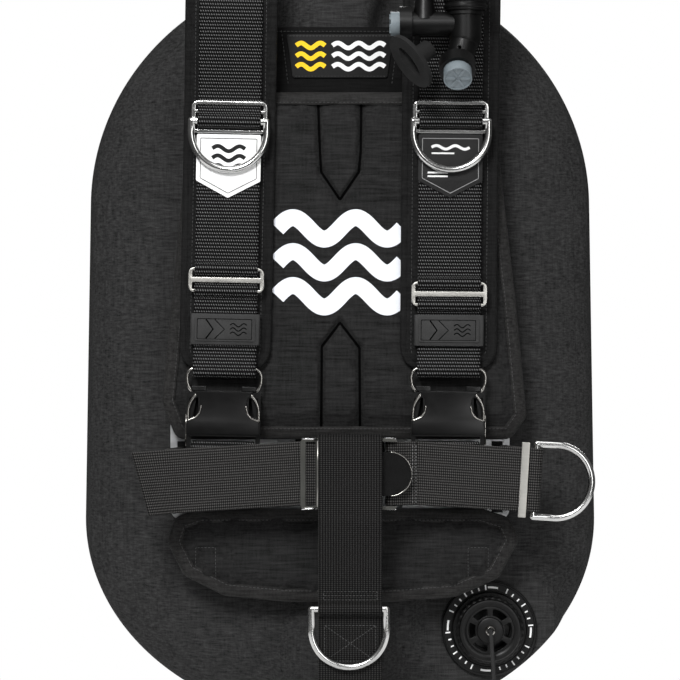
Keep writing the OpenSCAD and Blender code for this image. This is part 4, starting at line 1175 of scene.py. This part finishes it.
X_AXIS, Z_AXIS = np.array([1.0, 0, 0]), np.array([0, 0, 1.0])
for side in ("left", "right"):
    path = eased(shoulder_path(TRIGLIDE_Z[side]), 1.3, 0.7)
    swept("shoulder_strap_" + side, upright(path), X_AXIS, STRAP_SECTION, CORDS, place=ON[side],
          wander=0.12, seed=5 if side == "left" else 6, slot="webbing",
          replaces=["shoulder_webbing_" + side])

lower_path = ([[-19.6, -160], [-19.6, -122], [-20.6, -116], [-23.5, -112.4], [-27.4, -110.5], [-34, -107],
               [-50, -96.5], [-53.4, -92]]
              + arc((HOOK_Y, LOWER_BAR), WRAP, 0, 180, 10) + [[-62.5, -92], [-61.6, -100], [-58.8, -106]])
swept("lower_strap_left", upright(eased(lower_path, 1.3, 0.7)), X_AXIS, STRAP_SECTION, CORDS, place=on_left,
      wander=0.1, slot="webbing", replaces=["lower_webbing"])
swept("lower_strap_right", upright(eased(lower_path, 1.3, 0.7)), X_AXIS, STRAP_SECTION, CORDS,
      place=on_right, wander=0.1, seed=2, slot="webbing")


def level(xy, z=BELT_Z):
    xy = np.asarray(xy, float)
    return np.stack([xy[:, 0], xy[:, 1], np.full(len(xy), z)], 1)


WAIST_RING, FRAME_BAR, MIDDLE_BAR, BAR_R = (153.5, -76), (40, -84), (0, -82.4), 2.1
left_outer = ([[88, -16.6], [120, -16.6], [123.4, -18.4], [125.4, -22], [126.6, -26], [130, -33],
               [148, -63], [152.5, -70.2]]
              + arc(WAIST_RING, RING_WIRE + 0.35 + THICK / 2, 80, -90, 9) + [[146, -80.2], [62, -80.2]])
left_inner = ([[63, -80.2], [56, -80.2]] + arc(FRAME_BAR, BAR_R + 0.4 + THICK / 2, 90, 270, 8)
              + [[46, -86.4], [52, -83.2], [60, -82.5]])


def bent_belt(at_x, place):
    """Leans only what lies beyond at_x, with a soft bend there."""
    sign = 1 if place is belt_left else -1

    def move(p):
        k = smooth01((sign * (p[:, 0] - at_x) + 6) / 12)[:, None]
        return p * (1 - k) + place(p) * k

    return move


left_bend, right_bend = bent_belt(62, belt_left), bent_belt(-31, belt_right)
belt_end = [[-35, -85.9], [-60, -85.9], [-100, -86.6], [-126, -89], [-146, -94], [-157, -98.6]]
left_path = left_outer + left_inner[1:]
right_path = ([[-88, -16.6], [-120, -16.6], [-123.4, -18.4], [-125.4, -22], [-126.6, -26], [-129.6, -33],
               [-136, -52], [-137, -62], [-133, -71], [-124, -76.6], [-110, -78.9], [-35, -78.9]]
              + arc(MIDDLE_BAR, BAR_R + 0.3 + THICK / 2, 90, -90, 8) + belt_end)
swept("waist_belt_left", level(eased(left_path, 1.4, 0.7)), -Z_AXIS, STRAP_SECTION, BELT, place=left_bend,
      wander=0.15, seed=8, slot="webbing", replaces=["waist_webbing_left"])


right_line = level(eased(right_path, 1.4, 0.7))
belt = swept("waist_belt_right", right_line, -Z_AXIS, STRAP_SECTION, BELT, wander=0.15, seed=9,
             slot="webbing", replaces=["waist_webbing_right"])
co = points_of(belt)
# The slanted cut: the end's points slide along the strap, more at the top than at the bottom
near_end = smooth01((-co[:, 0] - 128) / 26) * (co[:, 1] < -84)
co[:, 0] += near_end * (-(co[:, 2] - BELT_Z) * 0.21 + 1.0)
co[:, 1] -= near_end * 1.5 * ((co[:, 2] - BELT_Z) / 25) ** 2
set_points(belt, right_bend(co))

crotch_path = ([[1.7, -167], [1.7, -161], [0.4, -157.6], [-3, -156], [-20, -154.6], [-25, -157],
                [-26.6, -163], [-26.6, -250]]
               + arc((-58, -313), 31.6, 0, -180, 14) + [[-90.4, -300], [-90.6, -220], [-91.4, -215.8]]
               + arc((-95.5, -211), RING_WIRE + 0.35 + THICK / 2, 250, 110, 8)
               + [[-92, -206], [-91.6, -200], [-93, -190], [-102.6, -142], [-103, -134], [-103, -85],
                  [-102, -79], [-98.5, -75.9], [-94, -75.4], [-80, -75.4], [-77, -76.6], [-75, -80],
                  [-74.6, -86], [-74.6, -136], [-75.4, -144], [-88, -196], [-88.4, -207]])
CROTCH_X = 8.0
swept("crotch_strap_webbing", upright(eased(crotch_path, 1.4, 0.8), CROTCH_X), X_AXIS, STRAP_SECTION,
      CROTCH, wander=0.15, seed=12, slot="webbing", replaces=["crotch_strap"])

# Sewing on the straps
belt_tree = surface(bpy.data.objects["waist_belt_left"])
crotch_tree = surface(bpy.data.objects["crotch_strap_webbing"])


def box_stitch(x0, x1, z0, z1, cross=True):
    lines = [[(x0, z0), (x1, z0), (x1, z1), (x0, z1), (x0, z0)]]
    return lines + ([[(x0, z0), (x1, z1)], [(x0, z1), (x1, z0)]] if cross else [])


stitches("belt_stitches", on_tree(belt_tree, [[(57, -83), (57, -129)], [(59.6, -83), (59.6, -129)]]),
         THREAD_PALE, 2.6, 1.9, 0.6)
sewn = (box_stitch(-13, 29, -204, -197.5, False) + [[(-13, -200.7), (29, -200.7)]]
        + box_stitch(-12, 28, -252, -224))
stitches("crotch_stitches", on_tree(crotch_tree, sewn), THREAD, 2.7, 2.1, 0.5)

# ---- Shoulder pads, lining the straps ----
pad_path = ([[-52.7, 246]] + arc((-59, 300), 6.3, 0, 180, 10)
            + [[-65.3, 264], [-64.6, 256], [-52.2, 200], [-50.7, 188], [-50.7, -22]])


def shoulder_pad(side, width):
    """A quilted pad with a taped edge and a rounded lower end."""
    line = eased(pad_path, 2.0, 3.0)
    v = lengths(line)
    left = v[-1] - v
    half = width / 2 - np.where(left < 16, 16 - np.sqrt(np.maximum(0, 16**2 - (16 - left) ** 2)), 0) * 0.86
    half = np.maximum(half, 3)
    k = np.linspace(-1, 1, 41)
    m = len(k)
    edge = 1 - np.abs(k)
    taper = smooth01(np.minimum(left, v) / 5)
    h = (1.3 + 2.3 * smooth01(edge / 0.3)[None, :]) * (0.45 + 0.55 * taper[:, None])
    flat = np.stack([np.repeat(v[:, None], m, 1), half[:, None] * k[None, :]], -1).reshape(-1, 2)
    bumps = 0.3 * lumps(flat, 30, 7 if side == "left" else 17).reshape(len(v), m) * smooth01(edge / 0.2)
    quilt = 0.5 * np.exp(-(((edge[None] * half[:, None]) - 8.0) / 1.3) ** 2)
    p = upright(line)
    t = unit(np.gradient(p, axis=0))
    out = -unit(np.cross(np.broadcast_to(X_AXIS, p.shape), t))      # away from the plate on the chest side
    top = p[:, None] + X_AXIS * (half[:, None] * k)[..., None] + out[:, None] * (h - quilt)[..., None]
    low = p[:, None] + X_AXIS * (half[:, None] * k)[..., None] - out[:, None] * (h + bumps * 0.3)[..., None]
    co = np.concatenate([top, low[:, ::-1]], 1)
    f, _, _ = grid_faces(len(v), 2 * m, False, True)
    faces = f.tolist() + [list(range(2 * m)), [(len(v) - 1) * 2 * m + j for j in range(2 * m - 1, -1, -1)]]
    o = piece("shoulder_pad_cloth_" + side, ON[side](co.reshape(-1, 3)), faces, PADDED_DARK,
              slot="pad_cloth", replaces=["shoulder_pad_" + side])
    # Taped edges: a flattened bead along each side and round the end
    sides = [p + X_AXIS * (s * (half - 1.6))[:, None] for s in (-1, 1)]
    loop = np.concatenate([sides[0], sides[1][::-1]])
    loop = eased(loop, 2.0, 2.0)
    tl = unit(np.gradient(loop, axis=0))
    nrm = out[np.argmin(np.linalg.norm(loop[:, None] - p[None], axis=2), axis=1)]
    side_dir = unit(np.cross(tl, nrm))
    a = np.linspace(0, 2 * math.pi, 14, endpoint=False)
    sec = np.stack([3.1 * np.sign(np.cos(a)) * np.abs(np.cos(a)) ** 0.7,
                    2.25 * np.sign(np.sin(a)) * np.abs(np.sin(a)) ** 0.7], 1)
    lv = lengths(loop)
    wob = 1 + 0.07 * ripple(lv, 9, 40)
    height = sec[None, :, 1:] * wob[:, None, None]
    ring = loop[:, None] + side_dir[:, None] * sec[None, :, :1] + nrm[:, None] * height
    f, _, _ = grid_faces(len(loop), 14, False, True)
    faces = f.tolist() + [list(range(14)), [(len(loop) - 1) * 14 + j for j in range(13, -1, -1)]]
    piece("shoulder_pad_tape_" + side, ON[side](ring.reshape(-1, 3)), faces, PADDED_DARK, slot="pad_cloth")
    runs = []
    for s in (-1, 1):
        seam = p + X_AXIS * (s * (half - 7.2))[:, None] + out * 2.9
        keep = (v > 12) & (left > 9)
        runs.append((seam[keep], out[keep]))
    stitches("shoulder_pad_stitches_" + side, runs, THREAD, 3.1, 2.3, 0.45, place=ON[side],
             slot="pad_cloth")


shoulder_pad("left", 74)
shoulder_pad("right", 70)

# ---- Patches under the shoulder rings ----
PATCH_Y = -62.8
patch_line = rounded([[-25.5, 161.8], [25.5, 161.8], [25.5, 125], [0, 111.5], [-25.5, 125]], 1.5)


def inner_patch(by):
    w = 25.5 - by
    return [(-w, 161.8 - by), (w, 161.8 - by), (w, 125 + by * 0.6), (0, 111.5 + by * 1.15),
            (-w, 125 + by * 0.6), (-w, 161.8 - by)]


for side, base, ink in (("left", GREY_PATCH, INK_GREY), ("right", WHITE, INK)):
    slab("shoulder_patch_" + side, [patch_line], PATCH_Y, -61.6, base, 0.35, place=ON[side],
         slot="patch_grey" if side == "left" else "patch_white", replaces=["ring_patch_" + side])
    runs = [(resample(inner_patch(3.3), 1.0), 0.55, 2)]
    printed("patch_border_" + side, runs, None, ink, y=PATCH_Y - 0.12, thick=0.2,
            slot="patch_grey" if side == "left" else "patch_white", place=ON[side])
printed("patch_waves_right", [(wave_line(-13, 13, z, 2.0, 1.5, 40), 3.2, 3) for z in (150.5, 143, 135.5)],
        None, INK, y=PATCH_Y - 0.14, thick=0.2, place=on_right)
printed("patch_waves_left", [(wave_line(-15, 15, 151.5, 1.4, 2, 40), 2.2, 3),
                             (wave_line(-15, 3, 146.8, 0.0, 1, 12), 1.3, 2)], None,
        INK_WHITE, y=PATCH_Y - 0.14, thick=0.2, slot="patch_grey", place=on_left)
printed("patch_bars_left", [(wave_line(-18, -2, z, 0, 1, 12), 1.3, 2) for z in (131.5, 128.6)], None,
        INK_WHITE, y=PATCH_Y - 0.14, thick=0.2, slot="patch_grey", place=on_left)


# ---- Rubber keepers: a sleeve with a raised frame; its chevrons, waves and inner frame line are near-black strips of painted groove shade ----
KEEPER_HALF = 12.2


def keeper(side):
    z = KEEPER_Z[side]
    hh = KEEPER_HALF
    outer = rounded([(-27.5, -64.2), (27.5, -64.2), (27.5, -54.8), (-27.5, -54.8)], 1.6, 4)
    inner = rounded([(-25.5, -61.8), (25.5, -61.8), (25.5, -56.3), (-25.5, -56.3)], 0.6, 4)
    n = len(outer)
    co, faces = [], []
    levels = [(inner, -hh + 0.3, 0.0), (outer, -hh, -0.5), (outer, -hh + 0.5, 0), (outer, hh - 0.5, 0),
              (outer, hh, -0.5), (inner, hh - 0.3, 0.0)]
    for line, dz, grow in levels:
        q = np.asarray(line, float)
        c = q.mean(0)
        q = q + unit(q - c) * grow
        co.append(np.stack([q[:, 0], q[:, 1], np.full(n, z + dz)], 1))
    for r in range(len(levels)):
        s = (r + 1) % len(levels)
        faces += [[r * n + i, r * n + (i + 1) % n, s * n + (i + 1) % n, s * n + i] for i in range(n)]
    body = piece("keeper_sleeve_" + side, ON[side](np.concatenate(co)), faces, KEEPER,
                 body="keeper_" + side, slot="rubber_dark", replaces=["keeper_" + side])
    smooth_by_angle(body, 40)
    frame_out = rectangle(-24, 24, z - 9.6, z + 9.6, 1.2)
    frame_in = rectangle(-22.2, 21.2, z - 8.2, z + 8.2, 0.8)
    slab("keeper_frame_" + side, [frame_out, frame_in], -65.0, -63.8, KEEPER, 0.3, place=ON[side],
         body="keeper_" + side, slot="rubber_dark")
    # The chevrons, waves and the line inside the frame are near-black strips standing for the shade in
    # moulded grooves: painted shade.
    groove_shade_strips = [([(x - reach, z + 7.6), (x, z), (x - reach, z - 7.6)], width, 2)
             for x, reach, width in ((-9.5, 5.6, 1.1), (-0.5, 7.6, 0.7))]
    groove_shade_strips += [(wave_line(4, 17, z + dz, 1.3, 1.5, 24), 0.8, 2) for dz in (3.4, 0, -3.4)]
    groove_shade_strips.append((resample(frame_in + frame_in[:1], 1.5), 0.75, 2))
    printed("keeper_groove_shade_" + side, groove_shade_strips, None, GROOVE_SHADE, y=-64.32, thick=0.15, slot="rubber_dark",
            body="keeper_" + side, place=ON[side])


keeper("left")
keeper("right")

# ---- Hose: corrugated, in one piece between its two cuffs ----
hose_points = [[72, -24, 266], [72, -24, 280], [72, -24, 294], [73, -25, 307], [75, -30, 319],
               [79, -39, 329], [84, -50, 335], [89, -61, 336], [94, -73, 333], [97, -83, 324],
               [98, -89, 311], [98, -91, 298], [98, -91, 285], [98, -91, 272]]
hose_line = eased(hose_points, 0.62, 5.0)
hose_run = lengths(hose_line)
ribbed = 0.5 + 0.5 * np.cos(2 * math.pi * hose_run / 4.7)
hose_r = 12.3 + 2.1 * ribbed**0.7
inside_cuff = (hose_line[:, 2] < 282) & (hose_line[:, 1] > -40) | (hose_line[:, 2] < 273)
hose_r = np.where(inside_cuff, 12.3, hose_r)
tube("hose_corrugated", hose_line, hose_r, HOSE, 40, slot="rubber_dark", replaces=["corrugated_hose"])

# ---- Dump valve: ticks and short arcs round the flange, and the cap ----
tick_strips = []
for k in range(36):
    a = math.radians(10 * k + 5)
    if k % 9 in (7, 8):
        continue
    r0, r1 = 31.6, 34.2 if k % 3 else 35.6
    tick_strips.append(([(VALVE[0] + r * math.cos(a), VALVE[1] + r * math.sin(a))
                         for r in (r0, (r0 + r1) / 2, r1)], 1.1, 2))
for k in range(4):
    a = np.radians(np.linspace(90 * k - 12, 90 * k + 2, 8))
    tick_strips.append((np.stack([VALVE[0] + 33.6 * np.cos(a), VALVE[1] + 33.6 * np.sin(a)], 1), 1.5, 2))
printed("valve_ticks", tick_strips, None, INK_WHITE, y=-8.85, thick=0.25, slot="plastic_black")
for label, r, wire in (("rim", 37.2, 0.9), ("groove", 30.6, 0.7)):
    around = [(VALVE[0] + r * math.cos(a), -8.6, VALVE[1] + r * math.sin(a))
              for a in np.linspace(0, 2 * math.pi, 96, endpoint=False)]
    tube("valve_flange_" + label, around, wire, PLASTIC, 8, closed=True, slot="plastic_black")
HUB = (VALVE[0], -27, VALVE[1])
OUT = (0, -1, 0)
wall = lathe("valve_cap_wall",
             [(22, -13.8), (26.6, -13.8), (26.9, -13.3), (26.9, -5.6), (26.2, -4.8), (25.2, -4.4),
              (24.9, -3.4), (24.2, -2.6), (23, -2.3), (20.6, -2.5), (19.2, -3.4), (18.7, -4.6), (18.7, -6),
              (22, -6), (22, -13.8)],
             HUB, OUT, PLASTIC, 360, slot="plastic_black", replaces=["dump_valve_cap"])
# Finger ribs round the wall
co = points_of(wall)
turn = np.arctan2(co[:, 2] - VALVE[1], co[:, 0] - VALVE[0])
rib = (np.hypot(co[:, 0] - VALVE[0], co[:, 2] - VALVE[1]) > 26) * 0.45 * np.cos(30 * turn)
co[:, 0] += rib * np.cos(turn)
co[:, 2] += rib * np.sin(turn)
set_points(wall, co)
windows = []
for k in range(6):
    outer_arc = arc(VALVE, 17.4, 60 * k - 22, 60 * k + 22, 10)
    inner_arc = arc(VALVE, 12.0, 60 * k + 20, 60 * k - 20, 10)
    windows.append(rounded(outer_arc + inner_arc, 0.8, 3))
slab("valve_cap_grille", [arc(VALVE, 19.4, 0, 352, 44)] + windows, -23.4, -21.6, PLASTIC, 0.35,
     slot="plastic_black")
lathe("valve_hub", [(2.8, -0.2), (9.2, -0.2), (10.3, -0.6), (10.8, -1.5), (10.8, -5.4), (2.8, -5.4),
                    (2.8, -0.2)], HUB, OUT, PLASTIC, 72,
      slot="plastic_black")
lathe("valve_dome", [(2.7, 2.7), (3.5, 2.3), (4.2, 1.3), (4.5, 0), (2.7, -0.1), (2.7, 2.7)], HUB, OUT,
      BUCKLE_RIM, 48, slot="plastic_black")

# ---- Tank bands ----
BAND_T = 2.4
BAND_MID = TANK_R + BAND_T / 2


def leg(s):
    return [[s * 33.6, 7], [s * 31.4, 1.5], [s * 28.6, -4.6], [s * 24, -8.2], [s * 16, -9]]


band_path = arc((0, TANK_Y), BAND_MID, -64.7, 244.7, 120) + leg(-1) + leg(1)[::-1]
for label, z in (("upper", 75), ("lower", -75)):
    swept("tank_band_webbing_" + label, level(eased(band_path, 2.5, 1.0, True), z), -Z_AXIS,
          flat_section(WIDE, BAND_T), BELT, closed=True, slot="webbing",
          replaces=["tank_bands"] if label == "upper" else [])


# ---- CAD nodes that keep their own shape ----
def dress(names, material, bevel=0.35, angle=32):
    for n in names:
        o = nodes[n]
        o.data.materials.clear()
        o.data.materials.append(material)
        w = o.modifiers.new("weld", "WELD")
        w.merge_threshold = 4e-6
        if bevel:
            b = o.modifiers.new("edges", "BEVEL")
            b.width = bevel * MM
            b.segments = 2
            b.limit_method = "ANGLE"
            b.angle_limit = math.radians(angle)
            b.use_clamp_overlap = True
            b.harden_normals = False
        if o.data.polygons:
            o.data.polygons.foreach_set("use_smooth", [True] * len(o.data.polygons))
        s = o.modifiers.new("shade", "WEIGHTED_NORMAL")
        s.keep_sharp = True
        s.weight = 60


dress(["shoulder_ring_left", "shoulder_ring_right", "waist_ring", "crotch_ring"], STEEL, 0)
dress(["shoulder_slider_left", "shoulder_slider_right"], STEEL, 0.55)
dress(["triglide_left", "triglide_right", "waist_ring_loop"], STEEL_SATIN, 0.5)
# The waist frame's steel is darkened for the shade the webbing casts in it: painted shade.
dress(["waist_buckle_frame"], STEEL_SHADED, 0.5)
dress(["backplate"], PLATE, 0.5)
dress(["wing_grommets"], STEEL, 0.3)
dress(["inflator_nipple", "dump_spring"], CHROME, 0.25)
dress(["buckle_lower_left", "buckle_lower_right"], BUCKLE, 0.8)
dress(["buckle_tab_left_outer", "buckle_tab_left_inner", "buckle_tab_right_outer",
       "buckle_tab_right_inner"], BUCKLE, 0.4)
dress(["waist_buckle_lever"], BUCKLE_EDGE, 0.9)
dress(["hose_elbow", "inflator_body", "dump_valve_base"], PLASTIC, 0.5)
dress(["hose_cuffs", "tank_buckles", "tank_lever_upper", "tank_lever_lower", "pull_knob"], PLASTIC, 0.4)
dress(["inflate_button", "deflate_button"], BUTTON, 0.3)
dress(["mouthpiece", "dump_poppet"], RUBBER, 0.9)
dress(["bladder_front", "bladder_back"], LINER, 0)


# ---- Waist buckle: chrome beads along the frame's edges, a brighter copy of its steel as painted highlights, and the lever's polished rim ----
# These bright chrome and satin beads stand for the highlights on the frame's edges: painted highlights.
for n, s in enumerate((-1, 1)):
    z = BELT_Z + s * 27.6
    tube("waist_frame_edge_left_%d" % n, [(x, -90.2, z) for x in (33.5, 37, 41, 44)], 0.75, CHROME, 10,
         slot="steel")
    tube("waist_frame_edge_right_%d" % n,
         [(x, -90.2, z - 0.05 * s * (x + 31)) for x in (-30, -26, -22, -18)], 0.75, CHROME, 10,
         slot="steel")
tube("waist_frame_highlight_side", [(-17.4, -93.6, BELT_Z + z) for z in (-26, -9, 9, 26)], 0.6, STEEL_SATIN, 8,
     slot="steel")
lever_rim = [(39 + 17.1 * math.cos(a), -94.0, BELT_Z + 17.1 * math.sin(a))
             for a in np.radians(np.linspace(-90, 90, 40))]
tube("waist_lever_rim", lever_rim, 0.5, BUCKLE_RIM, 8, body="waist_lever", slot="plastic_black")


# ---- Side-release buckles: the wire loop that holds the strap, and the stamped front plate ----
for side in ("left", "right"):
    loop = [(-23.5, -43.2), (-27.2, -40), (-29.2, -35.5), (-29.6, -30), (-28.4, -25.6), (-25.5, -23.6),
            (0, -23.6), (25.5, -23.6), (28.4, -25.6), (29.6, -30), (29.2, -35.5), (27.2, -40),
            (23.5, -43.2)]
    wire = eased([(x, HOOK_Y, z) for x, z in loop], 0.8, 1.6)
    tube("buckle_wire_" + side, wire, 1.35, BUCKLE_RIM, 16, place=ON[side], slot="buckle_black",
         replaces=["buckle_upper_" + side])
    slab("buckle_tongue_" + side, [rounded([(-25.8, -41.4), (25.8, -41.4), (25.8, -37.6), (14, -37.4),
                                            (14, -71), (-14, -71), (-14, -37.4),
                                            (-25.8, -37.6)][::-1], 0.6, 3)], HOOK_Y - 2.4, HOOK_Y + 2.4,
         BUCKLE, 0.4, place=ON[side], slot="buckle_black")
    notch = [(21.6, -43.5), (18.6, -47.5), (17.6, -53), (18.7, -58.5), (21.8, -62.4), (27.8, -64.6)]
    half_plate = [(23.4, -41.4)] + notch + [(28.6, -75.6)]
    plate_line = half_plate + [(-x, z) for x, z in half_plate[::-1]]
    slab("buckle_front_" + side, [plate_line], -65.6, -64.7, BUCKLE, 0.3, place=ON[side],
         slot="buckle_black")
    outward = 1 if side == "left" else -1
    for n, s in enumerate((-1, 1)):
        lip = eased([(s * x, -65.4, z) for x, z in notch[2:]], 0.6, 1.5)
        tube("buckle_lip_%s_%d" % (side, n), lip, 0.85, BUCKLE_RIM, 10, place=ON[side], slot="buckle_black")
        bow = eased([(s * x, -64.2, z)
                     for x, z in ((21.8, -44), (25.4, -48.4), (27.6, -54), (28.1, -60), (28.0, -65))], 0.8, 2)
        tube("buckle_bow_%s_%d" % (side, n), bow, 1.2, BUCKLE_RIM, 12, place=ON[side], slot="buckle_black")
    rail = [(outward * 29.4, -62.4, z) for z in (-60, -68, -76, -85)]
    tube("buckle_rail_" + side, rail, 0.7, BUCKLE_RIM, 8, place=ON[side], slot="buckle_black")


# ---- Stage and light ----
def stage_plane(name, size, location, rotation, material):
    me = bpy.data.meshes.new(name)
    s = size / 2
    me.from_pydata([(-s, -s, 0), (s, -s, 0), (s, s, 0), (-s, s, 0)], [], [(0, 1, 2, 3)])
    me.materials.append(material)
    o = bpy.data.objects.new(name, me)
    o.location, o.rotation_euler = location, rotation
    scene.collection.objects.link(o)
    return o


pale = Mat("pale_floor", Base_Color=(0.9, 0.9, 0.9), Roughness=0.9, Specular_IOR_Level=0.1)
pale.colour(pale.ramp(pale.noise(3, 2), (0.3, 0.88), (0.7, 0.92)))
stage_plane("floor", 1.4, (0, -0.1, cad_lo.z - 0.004), (0, 0, 0), pale.made)

# White to the camera, and softer and darker towards the ground as a light
world = bpy.data.worlds.new("studio")
scene.world = world
world.use_nodes = True
tree = world.node_tree
seen = tree.nodes["Background"]
seen.inputs["Color"].default_value = (1, 1, 1, 1)
seen.inputs["Strength"].default_value = 1.0
glow = tree.nodes.new("ShaderNodeBackground")
glow.inputs["Strength"].default_value = 1.0
way = tree.nodes.new("ShaderNodeTexCoord")
split = tree.nodes.new("ShaderNodeSeparateXYZ")
tree.links.new(way.outputs["Generated"], split.inputs[0])
sky = tree.nodes.new("ShaderNodeValToRGB")
tree.links.new(split.outputs[2], sky.inputs[0])
for e, (at, v) in zip([sky.color_ramp.elements[0], sky.color_ramp.elements[1]], ((0.0, 0.07), (0.9, 0.26))):
    e.position, e.color = at, (v, v, v, 1)
tree.links.new(sky.outputs[0], glow.inputs["Color"])
path_kind = tree.nodes.new("ShaderNodeLightPath")
pick = tree.nodes.new("ShaderNodeMixShader")
tree.links.new(path_kind.outputs["Is Camera Ray"], pick.inputs[0])
tree.links.new(glow.outputs[0], pick.inputs[1])
tree.links.new(seen.outputs[0], pick.inputs[2])
tree.links.new(pick.outputs[0], tree.nodes["World Output"].inputs[0])


def area_light(name, location, target, size, power, tint=(1, 1, 1)):
    data = bpy.data.lights.new(name, "AREA")
    data.shape = "RECTANGLE"
    data.size, data.size_y = size
    data.energy = power
    data.color = tint
    o = bpy.data.objects.new(name, data)
    o.location = location
    o.rotation_euler = (Vector(target) - Vector(location)).to_track_quat("-Z", "Y").to_euler()
    scene.collection.objects.link(o)


area_light("key", (-0.6, -2.5, 1.5), (0, 0, 0), (0.8, 0.8), 88)
area_light("fill", (1.0, -2.6, 0.3), (0, 0, 0), (0.7, 1.4), 16)
area_light("top", (0, -0.8, 1.7), (0, 0, 0), (1.2, 0.6), 9)
area_light("back", (0.2, 1.9, 0.9), (0, 0, 0), (1.4, 1.2), 42)
scene.view_settings.view_transform = "Standard"
scene.view_settings.look = "None"
